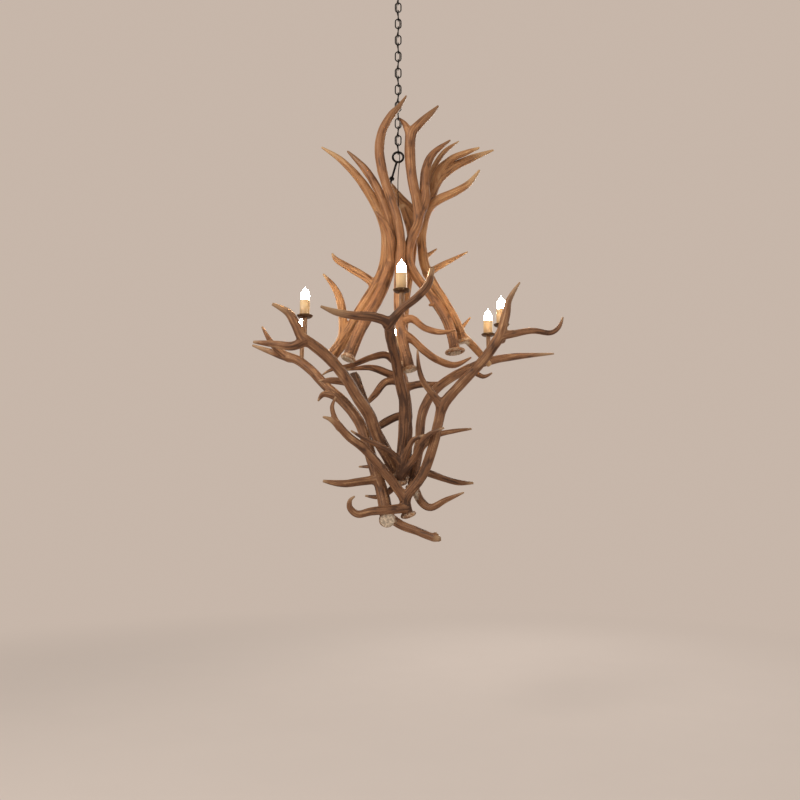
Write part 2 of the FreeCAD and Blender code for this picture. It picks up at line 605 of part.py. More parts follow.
# ---------------------------------------------------------------- chain
link_wire = as_length("link_wire_radius")
link_long, link_wide = as_length("link_inner_length"), as_length("link_inner_width")
play = as_length("link_play")
link_pitch = link_long - play
link_bend = link_wide * 0.5 + link_wire
half_straight = (link_long - link_wide) * 0.5
first_link_z = loop_low + loop_wire + play - link_long * 0.5
LINKS = int(size("link_count"))


def chain_link(number):
    """One welded link. Odd links lie edge-on to the front, even links face it."""
    name = f"chain_link_{number:02d}"
    across = Rotation(Vector(0, 0, 1), 90 if number % 2 else 0)
    link = joined(name, [
        rod(name + "_left", link_wire, half_straight * 2, x=-link_bend, z=-half_straight),
        rod(name + "_right", link_wire, half_straight * 2, x=link_bend, z=-half_straight),
        hoop(name + "_top", link_bend, link_wire, upward, 180, z=half_straight),
        hoop(name + "_bottom", link_bend, link_wire, downward, 180, z=-half_straight),
    ])
    link.Placement.Rotation = across
    return keep(name, bind(link, at_z=first_link_z - link_pitch * (number - 1)))


for number in range(1, LINKS + 1):
    chain_link(number)
last_link_z = first_link_z - link_pitch * (LINKS - 1)

# ---------------------------------------------------------------- hanging eye bolt
eye_r, eye_wire = as_length("eye_radius"), as_length("eye_wire_radius")
eye_z = last_link_z - link_long * 0.5 + play - (eye_r - eye_wire)
tilt = Rotation(Vector(0, 1, 0), size("eye_tilt"))
ring = hoop("eye_ring", eye_r, eye_wire, Rotation(Vector(1, 0, 0), 90), z=0)
shank = rod("eye_shank", eye_wire, as_length("eye_reach") - eye_r, z=-as_length("eye_reach"))
eye = joined("hanging_eye_bolt", [ring, shank])
eye.Placement.Rotation = tilt
keep("hanging_eye_bolt", bind(eye, at_z=eye_z))
nut_blank = doc.addObject("Part::Prism", "nut_blank")
nut_blank.Polygon = 6
nut_blank.setExpression("Circumradius", "sizes.nut_width / sqrt(3)")
nut_low = -as_length("nut_reach") - as_length("nut_height") * 0.5
bind(nut_blank, Height="nut_height", at_z=nut_low)
nut = cut_from("eye_jam_nut", nut_blank, rod("nut_bore", eye_wire, "nut_height", z=nut_low))
nut.Placement.Rotation = tilt
keep("eye_jam_nut", bind(nut, at_z=eye_z))

# ---------------------------------------------------------------- supply cord
cord_gap = link_wire + as_length("cord_radius") * 2 + play
weave = cord_gap.value
meeting_z = (first_link_z + link_pitch * 0.5).value
way = [Vector(0, 0, -6), Vector(0, 0, collar_foot.value)]
sign = Vector(1, -1, 0)
for number in range(LINKS + 1):
    way.append(Vector(sign.x * weave, sign.y * weave, meeting_z - number * link_pitch.value))
    if number % 2:
        sign.y = -sign.y
    else:
        sign.x = -sign.x
# below the ring the cord hangs behind the shank and bends forward into the front antler
way[-1] += Vector(0.8, 1.2, 0)
CORD_END = [(5, 9.5, -800), (0, 8, -848), (-1, 5, -896), (0, -2, -944), (1, -14, -988), (4, -36, -1026),
            (6, -64, -1052)]
way += [Vector(*p) for p in CORD_END]


def tube_along(points, radius):
    """A round tube along straight runs joined by arcs as large as the runs allow."""
    edges = []
    here = points[0]
    smallest = None
    for before, corner, after in zip(points, points[1:], points[2:]):
        to_before, to_after = (before - corner), (after - corner)
        run = min(to_before.Length, to_after.Length)
        turn = math.pi - to_before.getAngle(to_after)
        reach = 0.45 * run
        bend = reach / math.tan(turn / 2)
        smallest = min(smallest or bend, bend)
        start, stop = corner + to_before.normalize() * reach, corner + to_after.normalize() * reach
        inward = (to_before + to_after).normalize()
        top = corner + inward * (bend / math.cos(turn / 2) - bend)
        edges += [Part.LineSegment(here, start).toShape(), Part.Arc(start, top, stop).toShape()]
        here = stop
    edges.append(Part.LineSegment(here, points[-1]).toShape())
    path = Part.Wire(edges)
    first = (points[1] - points[0]).normalize()
    section = Part.Wire(Part.makeCircle(radius, points[0], first))
    tube = path.makePipeShell([section], True, False)
    print(f"cord: {path.Length:.0f} mm long, smallest bend {smallest:.0f} mm,",
          f"volume {tube.Volume / (math.pi * radius ** 2 * path.Length):.4f} of section times length")
    return tube


cord_shape = tube_along(way, size("cord_radius"))
keep("power_cord", solid_feature("power_cord", cord_shape))

# ---------------------------------------------------------------- candles
dish_r, dish_wall, dish_rise = (as_length(a) for a in ("dish_radius", "dish_wall", "dish_rise"))
dish_floor = as_length("sleeve_radius") + 1
stems, sockets = [], []
for spot, (holder, right, back, dish_z, seat_z) in CANDLES.items():
    x, y = as_length("shift_right") + right, as_length("shift_back") + back
    foot_z = as_length(seat_z) - "stem_sink"
    stems.append(rod(f"stem_{spot}", "stem_radius", as_length(dish_z) - foot_z, x, y, foot_z))
    dish = turned(f"candle_dish_{spot}", [
        ("tube_bore_radius", 0),
        (dish_floor, 0),
        (dish_r, dish_rise, dish_r * 0.8),
        (dish_r - dish_wall, dish_rise),
        (dish_floor, dish_wall, -dish_r * 0.75),
        ("tube_bore_radius", dish_wall),
    ])
    keep(dish.Name, bind(dish, at_x=x, at_y=y, at_z=dish_z))
    floor_z = as_length(dish_z) + dish_wall
    sleeve = cut_from(
        f"candle_sleeve_{spot}",
        rod(f"sleeve_blank_{spot}", "sleeve_radius", "sleeve_height", x, y, floor_z),
        rod(f"sleeve_bore_{spot}", as_length("sleeve_radius") - "sleeve_wall", "sleeve_height", x, y, floor_z))
    keep(sleeve.Name, sleeve)
    socket_top = floor_z + "socket_height"
    cap_room = as_length("cap_length") + 2
    sockets.append(cut_from(
        f"socket_{spot}",
        rod(f"socket_blank_{spot}", "socket_radius", "socket_height", x, y, floor_z),
        rod(f"socket_bore_{spot}", as_length("cap_radius") + "fit", cap_room, x, y, socket_top - cap_room)))
    glass, tall = as_length("bulb_radius"), as_length("bulb_height")
    bulb = turned(f"candle_bulb_{spot}", [
        (0, -as_length("cap_length")),
        (as_length("cap_radius") - 2, -as_length("cap_length")),
        ("cap_radius", -as_length("cap_length") + 4),
        ("cap_radius", 0),
        (as_length("cap_radius") + 2.5, 0),
        (glass, tall * 0.42, tall * 0.9),
        (3, tall * 0.94, tall * 0.75),
        (0, tall),
    ])
    keep(bulb.Name, bind(bulb, at_x=x, at_y=y, at_z=socket_top))
for name, group in (("candle_stems", stems), ("lamp_sockets", sockets)):
    together = doc.addObject("Part::Compound", name)
    together.Links = group
    keep(name, together)
doc.recompute()

# ---------------------------------------------------------------- antlers, notched and drilled
shapes = {name: antler(spec) for name, spec in ANTLERS.items()}
for name, others in NOTCHES.items():
    shapes[name] = shapes[name].cut([shapes[other] for other in others])
for spot, (holder, x, y, dish_z, seat_z) in CANDLES.items():
    hole = Part.makeCylinder(size("stem_radius"), dish_z - seat_z + size("stem_sink"),
                             Vector(x + size("shift_right"), y + size("shift_back"), seat_z - size("stem_sink")))
    shapes[holder] = shapes[holder].cut(hole)
for name in ("upper_left_back", "upper_left_front"):
    shapes[name] = shapes[name].cut(eye.Shape)
shapes["upper_front"] = shapes["upper_front"].cut(cord_shape)
for name, shape in shapes.items():
    keep(name, solid_feature(name, shape))

# ---------------------------------------------------------------- checks and files
doc.recompute()
for thing in doc.Objects:
    if "Invalid" in thing.State or "Error" in thing.State:
        raise RuntimeError(f"{thing.Name} failed: {thing.State}")
for name, thing in pieces.items():
    if thing.Shape.isNull() or not thing.Shape.isValid() or not thing.Shape.Solids:
        raise RuntimeError(f"{name} has no valid solid")
os.makedirs("parts", exist_ok=True)
for name, thing in pieces.items():
    thing.Shape.exportStep(f"parts/{name}.step")
    print(name, len(thing.Shape.Solids), "solids,", round(thing.Shape.Volume / 1000, 1), "cc")
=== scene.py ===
# %% [markdown]
# # An antler chandelier
# Thirteen shed antlers are wedged together into a cluster, six candle lamps stand on the lower tines, and a
# welded chain carries all of it. The chain, the cord and the lamps are made to measure. An antler is grown,
# so most of this lesson is about giving a simple tapered tube the forks, gutters, pearls and worn tips of
# real bone.

import json
import math

import bpy
import numpy as np
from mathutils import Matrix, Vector


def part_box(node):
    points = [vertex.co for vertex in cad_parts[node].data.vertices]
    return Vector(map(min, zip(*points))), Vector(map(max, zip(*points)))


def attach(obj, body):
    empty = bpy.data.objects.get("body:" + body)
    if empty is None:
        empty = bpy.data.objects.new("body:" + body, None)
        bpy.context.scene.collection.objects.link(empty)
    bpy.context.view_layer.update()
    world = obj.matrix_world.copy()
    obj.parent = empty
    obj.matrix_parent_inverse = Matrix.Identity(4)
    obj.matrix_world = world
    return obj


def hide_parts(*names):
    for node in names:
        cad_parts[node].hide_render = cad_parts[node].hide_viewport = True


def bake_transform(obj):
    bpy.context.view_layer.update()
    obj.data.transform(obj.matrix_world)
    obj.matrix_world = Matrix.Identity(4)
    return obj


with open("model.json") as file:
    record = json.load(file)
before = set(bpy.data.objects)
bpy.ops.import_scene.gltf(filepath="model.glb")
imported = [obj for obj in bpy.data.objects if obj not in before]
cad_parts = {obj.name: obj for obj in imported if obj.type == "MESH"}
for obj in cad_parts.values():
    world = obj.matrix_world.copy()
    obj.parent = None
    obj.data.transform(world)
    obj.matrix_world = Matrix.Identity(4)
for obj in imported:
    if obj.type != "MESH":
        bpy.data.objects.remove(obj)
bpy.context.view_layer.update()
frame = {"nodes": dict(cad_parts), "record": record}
MM = 0.001

# %% [markdown]
# ## Nodes written as formulas
# A material is a graph of nodes, and a graph is hard to read as code. Two small classes help. `Socket`
# wraps one output and turns + - * / into Math nodes, so a mask can be written as a formula. `Finish` makes
# a material and adds any other node, given its type, its settings and what goes into it.

# %% Shader helpers


class Socket:
    """One output of a node, usable in sums."""

    def __init__(self, finish, output):
        self.finish = finish
        self.output = output

    def math(self, operation, first, second):
        return self.finish.node("ShaderNodeMath", {"operation": operation}, {0: first, 1: second})

    def __add__(self, other):
        return self.math("ADD", self, other)

    def __sub__(self, other):
        return self.math("SUBTRACT", self, other)

    def __mul__(self, other):
        return self.math("MULTIPLY", self, other)

    def __rsub__(self, other):
        return self.math("SUBTRACT", other, self)

    __radd__ = __add__
    __rmul__ = __mul__


class Finish:
    """A material that is being built."""

    def __init__(self, name):
        self.material = bpy.data.materials.new(name)
        self.material.use_nodes = True
        self.tree = self.material.node_tree
        self.tree.nodes.clear()

    def node(self, kind, settings=None, inputs=None, output=0):
        """Add a node: its settings first, then the values or links of its sockets."""
        made = self.tree.nodes.new(kind)
        for name, value in (settings or {}).items():
            setattr(made, name, value)
        for name, value in (inputs or {}).items():
            if isinstance(value, Socket):
                self.tree.links.new(value.output, made.inputs[name])
            else:
                made.inputs[name].default_value = value
        return Socket(self, made.outputs[output]) if made.outputs else None

    def mix(self, factor, first, second):
        """Mix two colours."""
        first, second = (c if isinstance(c, Socket) else (*c, 1) for c in (first, second))
        return self.node("ShaderNodeMix", {"data_type": "RGBA"}, {"Factor": factor, 6: first, 7: second},
                         output=2)

    def spread(self, value, low, high):
        """Stretch the stretch from low to high of a value over 0 to 1, with soft ends."""
        return self.node("ShaderNodeMapRange", {"interpolation_type": "SMOOTHSTEP"},
                         {"Value": value, "From Min": low, "From Max": high})

    def place(self):
        return self.node("ShaderNodeTexCoord", output="Object")

    def noise(self, scale, detail=3.0, rough=0.55, where=None):
        """Cloudy noise. Its scale is in cells a metre."""
        return self.node("ShaderNodeTexNoise", {}, {
            "Vector": where or self.place(), "Scale": scale, "Detail": detail, "Roughness": rough})

    def read(self, name):
        """A number that is stored on the mesh."""
        return self.node("ShaderNodeAttribute", {"attribute_name": name}, output="Fac")

    def bump(self, height, distance, strength=1.0, under=None):
        inputs = {"Height": height, "Distance": distance, "Strength": strength}
        if under:
            inputs["Normal"] = under
        return self.node("ShaderNodeBump", {}, inputs)

    def surface(self, **inputs):
        """Finish with a Principled shader. Underscores in a name stand for spaces."""
        given = {name.replace("_", " "): value for name, value in inputs.items()}
        for name, value in given.items():
            if "Color" in name and not isinstance(value, Socket):
                given[name] = (*value, 1)
        shader = self.node("ShaderNodeBsdfPrincipled", {}, given)
        self.node("ShaderNodeOutputMaterial", {}, {"Surface": shader})
        return self.material


# %% [markdown]
# ## Antler bone
# A shed antler is stained brown by bark and blood while it grows. Rubbing wears the ridges and the tips
# back to pale bone, and dirt stays in the gutters. So one colour isn't enough: the mesh carries a `wear`
# value that is high on ridges and low in gutters, a `tip` value that rises towards the end of each tine,
# and a `sawn` value on the pale face under the burr. The material only has to mix its stains by those.

# %% The antler finishes


def antler_finish(name, gutter, body, ridge, tip, sawn):
    f = Finish(name)
    wear, ends, face = f.read("wear"), f.read("tip"), f.read("sawn")
    clouds = f.noise(scale=16, detail=4)
    speckle = f.noise(scale=420, detail=3, rough=0.6)
    along = f.read("streak")
    worn = wear + (clouds - 0.5) * 0.8 + (along - 0.5) * 0.28
    stained = f.mix(f.spread(worn, 0.18, 0.55), gutter, body)
    rubbed = f.mix(f.spread(worn, 0.55, 1.0), stained, ridge)
    polished = f.mix(f.spread(ends + (clouds - 0.5) * 0.5, 0.45, 1.0), rubbed, tip)
    dirt = f.spread(speckle + wear * 0.3, 0.42, 0.62)
    dusty = f.mix((1 - dirt) * 0.35, polished, gutter)
    bone = f.mix(f.spread(f.noise(scale=130, detail=5), 0.38, 0.62), tuple(0.55 * c for c in sawn), sawn)
    colour = f.mix(face, dusty, bone)
    pits = f.bump(speckle, distance=0.0006, strength=0.5)
    grain = f.bump(along, distance=0.0012, strength=0.55, under=pits)
    rough = 0.62 - ends * 0.22 - f.spread(worn, 0.6, 1.0) * 0.1 + face * 0.2
    return f.surface(Base_Color=colour, Roughness=rough, Normal=grain, Subsurface_Weight=0.0,
                     Specular_IOR_Level=0.42)


# for each finish: the stain in the gutters, the body, the worn ridges, the tips and the sawn face
ANTLER_COLOURS = {
    "pale_antler": ((0.145, 0.060, 0.023), (0.370, 0.178, 0.072), (0.560, 0.330, 0.155),
                    (0.500, 0.310, 0.155), (0.740, 0.590, 0.430)),
    "brown_antler": ((0.105, 0.042, 0.017), (0.275, 0.121, 0.049), (0.500, 0.262, 0.118),
                     (0.250, 0.125, 0.055), (0.720, 0.570, 0.410)),
    "grey_antler": ((0.070, 0.029, 0.013), (0.208, 0.093, 0.041), (0.480, 0.272, 0.135),
                    (0.360, 0.220, 0.120), (0.720, 0.590, 0.450)),
}
ANTLER_FINISHES = {name: antler_finish(name, *colours) for name, colours in ANTLER_COLOURS.items()}
print("antler finishes:", len(ANTLER_FINISHES))

# %% [markdown]
# ## Where each antler runs
# Each antler is a beam and its tines, and each of these is a list of points along its middle with a radius.
# They are the same places, in millimetres, that the solid parts were made from, so that the looks stay on
# the solids.

# %% The antlers' middles
ANTLERS = {
    "right_front_arm": {
        "girth": 0.95,
        "burr": 31,
        "beam": [(48, -40, -2200, 21), (34, -52, -2153, 22), (44, -62, -2117, 19), (95, -84, -2052, 18),
                 (130, -108, -1960, 18), (155, -130, -1860, 19), (173, -142, -1797, 21),
                 (230, -158, -1730, 17.5), (300, -178, -1657, 16.5), (354, -196, -1588, 16.5),
                 (379, -209, -1539, 15.5), (395, -216, -1479, 13.5), (404, -220, -1436, 9.5),
                 (422, -226, -1401, 6.5), (447, -232, -1364, 3)],
        "crown": [(375, -205, -1557, 14.5), (421, -208, -1550, 11.5), (492, -212, -1540, 8.5),
                  (552, -214, -1548, 7.5), (585, -215, -1526, 6), (600, -216, -1488, 3)],
        "seat": [(360, -198, -1578, 14), (374, -180, -1566, 13), (388, -158, -1560, 12)],
        "trez": [(166, -140, -1804, 16.5), (126, -152, -1751, 10.5), (99, -162, -1716, 8.5),
                 (83, -170, -1666, 7), (78, -178, -1598, 3)],
        "brow": [(34, -56, -2167, 17), (-25, -86, -2174, 14.5), (-88, -96, -2180, 12.5),
                 (-136, -102, -2189, 11.5), (-164, -112, -2168, 9.5), (-164, -118, -2141, 6),
                 (-146, -122, -2125, 3)],
        "bez": [(30, -58, -2131, 17.5), (-11, -78, -2074, 15.5), (-54, -104, -2023, 15.5),
                (-111, -126, -1958, 14.5), (-168, -145, -1915, 12.5), (-210, -160, -1871, 10.5),
                (-235, -168, -1854, 6.5), (-261, -176, -1846, 3.5)],
        "bez_fork": [(-203, -156, -1882, 9), (-221, -166, -1843, 7.5), (-228, -174, -1808, 6),
                     (-213, -182, -1772, 3)],
    },
    "front_arm": {
        "girth": 0.97,
        "burr": 27,
        "beam": [(17, -35, -2080, 19.5), (18, -70, -1996, 19.5), (27, -92, -1893, 19),
                 (29, -112, -1792, 19), (13, -144, -1709, 19), (-3, -210, -1634, 18),
                 (-18, -325, -1586, 18), (-26, -398, -1559, 16), (-71, -425, -1546, 13),
                 (-132, -448, -1547, 11), (-189, -470, -1543, 9), (-244, -492, -1527, 3.5)],
        "fork": [(-24, -395, -1565, 15.5), (19, -424, -1520, 12), (73, -455, -1485, 11),
                 (108, -480, -1447, 10), (119, -505, -1402, 6)],
        "brow": [(15, -72, -2001, 13), (-22, -106, -1965, 9), (-68, -130, -1942, 8), (-118, -152, -1919, 6),
                 (-163, -168, -1893, 3)],
        "bez": [(22, -62, -2022, 12), (40, -98, -1966, 9), (62, -118, -1924, 7.5), (104, -140, -1907, 3)],
        "trez": [(22, -55, -2044, 13), (73, -92, -1977, 11), (96, -124, -1932, 10), (125, -150, -1903, 7),
                 (175, -172, -1884, 3)],
    },
    "left_front_arm": {
        "girth": 1.1,
        "burr": 28,
        "beam": [(7, -4, -2044, 21), (-30, -30, -1976, 21), (-67, -58, -1911, 21), (-99, -88, -1829, 21),
                 (-142, -118, -1764, 20), (-188, -148, -1691, 19), (-248, -172, -1626, 19),
                 (-304, -192, -1583, 18), (-337, -206, -1561, 17), (-360, -216, -1516, 13),
                 (-386, -226, -1476, 10.5), (-444, -244, -1448, 3.5)],
        "back_fork": [(-325, -202, -1575, 15.5), (-375, -196, -1593, 12.5), (-441, -190, -1584, 9),
                      (-519, -184, -1574, 3.5)],
    },
    "left_back_arm": {
        "girth": 1.1,
        "burr": 32,
        "beam": [(-30, -84, -2212, 24), (-35, -50, -2198, 22), (-42, -32, -2149, 22), (-56, -20, -2093, 21),
                 (-79, 0, -2026, 20), (-107, 28, -1933, 20), (-147, 58, -1830, 19), (-204, 88, -1755, 19),
                 (-279, 118, -1686, 18), (-343, 148, -1616, 18), (-404, 178, -1567, 17),
                 (-477, 198, -1542, 12.5), (-602, 222, -1494, 3.5)],
        "up": [(-440, 190, -1555, 12), (-503, 178, -1506, 9.5), (-552, 162, -1427, 3)],
        "side": [(-228, 98, -1733, 12), (-284, 98, -1720, 8.5), (-309, 94, -1750, 3)],
        "bez": [(-63, -14, -2060, 13.5), (-133, -30, -2070, 11), (-202, -46, -2078, 9.5),
                (-273, -60, -2068, 3.5)],
        "brow": [(-34, -48, -2192, 17), (18, -52, -2228, 13), (72, -72, -2248, 11.5),
                 (129, -92, -2270, 10.5), (157, -100, -2277, 7.5)],
        "knob": [(138, -95, -2271, 8.5), (147, -98, -2256, 5)],
    },
    "right_back_arm": {
        "girth": 0.93,
        "burr": 28,
        "beam": [(60, -34, -2102, 20), (71, -12, -2026, 19), (87, 16, -1934, 18), (99, 42, -1816, 18),
                 (136, 70, -1730, 17.5), (201, 104, -1665, 17.5), (288, 142, -1611, 16.5),
                 (373, 178, -1573, 15.5), (485, 214, -1545, 12.5), (665, 262, -1522, 3.5)],
        "nub": [(295, 145, -1609, 11), (346, 128, -1644, 7.5), (385, 114, -1631, 3)],
        "trez": [(84, 14, -1949, 12), (147, 6, -1897, 9.5), (211, -6, -1880, 7.5), (289, -18, -1871, 3.5)],
        "brow": [(64, -26, -2082, 15), (92, -24, -2140, 14.5), (129, -34, -2165, 11.5),
                 (183, -52, -2138, 8.5), (251, -76, -2110, 3)],
    },
    "back_arm": {
        "girth": 1.04,
        "burr": 30,
        "beam": [(26, 66, -2064, 21), (38, 82, -1975, 21), (44, 104, -1879, 20), (43, 138, -1772, 20),
                 (31, 190, -1666, 18.5), (20, 258, -1590, 18.5), (12, 330, -1552, 17.5),
                 (8, 395, -1538, 16.5), (0, 450, -1504, 12.5), (-16, 484, -1440, 3.5)],
        "long_left": [(20, 250, -1596, 15.5), (-35, 236, -1536, 12.5), (-100, 214, -1547, 10.5),
                      (-185, 190, -1587, 8), (-261, 172, -1607, 5.5), (-304, 162, -1634, 2.5)],
        "mid_left": [(26, 212, -1642, 16), (-42, 196, -1615, 13.5), (-111, 178, -1598, 9.5),
                     (-211, 156, -1613, 3)],
        "down_left": [(28, 200, -1656, 14), (-42, 184, -1656, 12.5), (-86, 164, -1711, 10.5),
                      (-125, 148, -1758, 5)],
        "low_left": [(43, 128, -1805, 15.5), (-5, 118, -1810, 13.5), (-63, 104, -1844, 11.5),
                     (-114, 92, -1881, 6)],
        "right": [(34, 185, -1680, 15), (92, 176, -1668, 12.5), (148, 160, -1671, 8.5),
                  (200, 148, -1665, 4)],
        "bez_right": [(32, 74, -2020, 14.5), (94, 36, -2026, 12.5), (178, 40, -2054, 9.5),
                      (239, 48, -2070, 8), (299, 42, -2072, 3.5)],
        "brow_left": [(30, 74, -2030, 12.5), (-43, 84, -2009, 9.5), (-149, 108, -2006, 3)],
        "base_left": [(26, 67, -2050, 12.5), (-50, 76, -2119, 8.5), (-123, 82, -2119, 3)],
    },
    "short_arm": {
        "girth": 1.08,
        "burr": 0,
        "beam": [(-163, 6, -1660, 14), (-158, 5, -1676, 20), (-141, 0, -1722, 19), (-110, -4, -1799, 18),
                 (-72, 4, -1882, 18), (-31, 18, -1957, 18), (7, 30, -2024, 17), (26, 37, -2066, 14)],
        "left": [(-151, 3, -1696, 13.5), (-207, 6, -1686, 10.5), (-253, 8, -1682, 8.5),
                 (-299, 10, -1683, 3)],
    },
    "upper_front": {
        "girth": 0.98,
        "burr": 32,
        "beam": [(51, -152, -1678, 20), (40, -146, -1621, 20), (24, -134, -1551, 19), (13, -116, -1448, 20),
                 (11, -104, -1352, 20), (15, -92, -1247, 20), (17, -84, -1157, 19), (5, -80, -1067, 19),
                 (-20, -78, -982, 18), (-47, -76, -895, 17.5), (-65, -76, -796, 18), (-57, -78, -714, 16.5),
                 (-24, -80, -644, 12.5), (11, -84, -604, 8), (42, -88, -558, 3)],
        "bez": [(18, -120, -1485, 14), (59, -128, -1474, 12), (107, -134, -1511, 10), (165, -138, -1527, 8),
                (222, -140, -1520, 3)],
        "brow": [(24, -128, -1530, 16), (59, -134, -1553, 12.5), (106, -138, -1599, 12),
                 (159, -106, -1627, 11), (220, -76, -1638, 9), (286, -52, -1603, 3)],
    },
    "upper_left_front": {
        "girth": 1.08,
        "burr": 30,
        "beam": [(-178, -136, -1632, 21), (-154, -124, -1565, 21), (-123, -108, -1490, 21),
                 (-83, -86, -1409, 21), (-50, -64, -1332, 21), (-24, -48, -1248, 21), (-10, -37, -1171, 20),
                 (-14, -33, -1097, 19), (-40, -34, -1007, 18), (-80, -26, -907, 13.5),
                 (-132, -16, -823, 10.5), (-198, -6, -749, 3)],
        "front": [(-16, -48, -1232, 15), (-16, -84, -1178, 14), (-28, -96, -1124, 11.5),
                  (-50, -106, -1086, 8.5), (-82, -112, -1046, 2.5)],
    },
    "upper_right_front": {
        "girth": 0.96,
        "burr": 40,
        "beam": [(225, -40, -1587, 22), (216, -34, -1523, 20.5), (197, -24, -1458, 20.5),
                 (165, -12, -1396, 20.5), (119, -16, -1329, 19.5), (73, -46, -1278, 20),
                 (47, -70, -1221, 20), (57, -66, -1147, 20.5), (85, -50, -1071, 20.5), (79, -48, -981, 20),
                 (60, -48, -865, 21), (54, -50, -766, 22.5), (62, -52, -700, 20.5), (98, -56, -656, 14),
                 (133, -60, -624, 10), (169, -64, -588, 3.5)],
        "top_left": [(57, -51, -714, 15), (37, -50, -665, 9.5), (11, -48, -632, 3)],
        "spur": [(158, -13, -1380, 11), (126, -26, -1394, 4)],
        "right": [(88, -47, -1050, 19), (113, -34, -966, 21), (111, -28, -897, 20), (118, -22, -832, 16),
                  (148, -16, -766, 11.5), (219, -8, -704, 3.5)],
    },
    "upper_left_back": {
        "girth": 1.07,
        "burr": 34,
        "beam": [(-263, 98, -1572, 23), (-223, 86, -1527, 22), (-179, 70, -1462, 23), (-135, 56, -1385, 24),
                 (-87, 34, -1314, 23), (-52, 14, -1247, 22), (-38, -1, -1174, 21), (-41, -6, -1093, 20),
                 (-62, 1, -1014, 19), (-102, -1, -936, 17), (-156, -6, -858, 12.5), (-224, -12, -789, 8.5),
                 (-301, -18, -739, 3)],
        "brow": [(-226, 86, -1532, 16), (-212, 72, -1478, 13.5), (-212, 64, -1415, 13.5),
                 (-222, 58, -1352, 12.5), (-247, 54, -1296, 8.5), (-293, 50, -1241, 3)],
        "bez": [(-78, 28, -1300, 16), (-127, 44, -1256, 12.5), (-197, 64, -1208, 10.5),
                (-242, 72, -1176, 7.5), (-260, 76, -1147, 2.5)],
    },
    "upper_right_back": {
        "girth": 0.96,
        "burr": 31,
        "beam": [(258, 38, -1530, 19.5), (241, 32, -1464, 19.5), (210, 10, -1409, 19.5),
                 (179, 5, -1354, 19.5), (146, 10, -1298, 19.5), (115, 20, -1225, 19.5),
                 (102, 20, -1143, 19.5), (104, 18, -1069, 19.5), (126, 14, -992, 19.5),
                 (166, 10, -951, 17.5), (237, 4, -918, 13.5), (289, 0, -885, 10), (335, -4, -828, 3.5)],
        "spur": [(106, 22, -1190, 10), (164, 44, -1140, 2.5)],
        "bez": [(122, 20, -1253, 13.5), (181, 34, -1212, 9.5), (288, 52, -1150, 3)],
        "brow": [(247, 34, -1487, 15.5), (294, 60, -1525, 13.5), (332, 92, -1558, 12.5),
                 (376, 134, -1597, 8.5)],
        "nub": [(246, 34, -1480, 10), (270, 52, -1449, 6), (296, 66, -1415, 2.5)],
    },
    "upper_back": {
        "girth": 0.97,
        "burr": 31,
        "beam": [(32, 222, -1578, 21), (28, 192, -1491, 21), (30, 150, -1392, 21), (39, 108, -1296, 21),
                 (55, 74, -1207, 21), (65, 58, -1130, 21), (67, 52, -1048, 21), (96, 56, -979, 20),
                 (136, 62, -912, 20.5), (174, 62, -839, 20), (235, 66, -783, 17), (310, 72, -743, 12),
                 (404, 80, -702, 3.5)],
        "second": [(145, 62, -896, 18), (165, 48, -820, 15.5), (217, 40, -766, 11.5), (282, 34, -738, 9),
                   (341, 28, -718, 3.5)],
        "third": [(122, 62, -932, 14.5), (134, 84, -837, 11.5), (160, 100, -760, 9.5),
                  (202, 112, -692, 7.5), (264, 122, -641, 2.5)],
        "palm": [(66, 52, -1075, 20), (50, 54, -1015, 22), (30, 56, -955, 20)],
        "left": [(80, 54, -1010, 19), (50, 56, -965, 21), (20, 56, -935, 22), (-12, 58, -893, 19),
                 (-46, 58, -850, 15), (-76, 52, -800, 4)],
    },
}
SHIFT = (-7.4, 11.6, 0)
TIP_RADIUS, BEAM_RADIUS, FULLNESS = 3, 19, 0.9
print("antlers:", len(ANTLERS), "branches:", sum(len(a) - 2 for a in ANTLERS.values()))

# %% [markdown]
# ## From points to a smooth branch
# A Catmull-Rom curve passes through every point that it is given, so a branch goes exactly where it is
# drawn. The last point is drawn back by its radius, because a branch ends in a round cap and its tip has to
# stay in place.

# %% Branch lines
STEPS = 6


def catmull_rom(points):
    """Points through a branch's points, each (x, y, z, radius)."""
    padded = np.vstack([points[0], points, points[-1]])
    a, b, c, d = padded[:-3, None], padded[1:-2, None], padded[2:-1, None], padded[3:, None]
    t = (np.arange(STEPS) / STEPS)[None, :, None]
    between = 0.5 * (2 * b + (c - a) * t + (2 * a - 5 * b + 4 * c - d) * t ** 2
                     + (3 * b - a - 3 * c + d) * t ** 3)
    return np.vstack([between.reshape(-1, 4), points[-1:]])


def filled(radius):
    """Radii that are made fuller where a branch is slim. Tips and full beams stay as they are."""
    slim = (radius > TIP_RADIUS) & (radius < BEAM_RADIUS)
    return radius + slim * FULLNESS * (radius - TIP_RADIUS) * (1 - radius / BEAM_RADIUS)


def branch_line(points, girth):
    points = np.array(points, float)
    points[:, 3] = filled(points[:, 3] * girth)
    line = catmull_rom(points)
    line[:, :3] += SHIFT
    back = line[-2, :3] - line[-1, :3]
    line[-1, :3] += back / np.linalg.norm(back) * min(line[-1, 3], 0.8 * np.linalg.norm(back))
    return line * MM


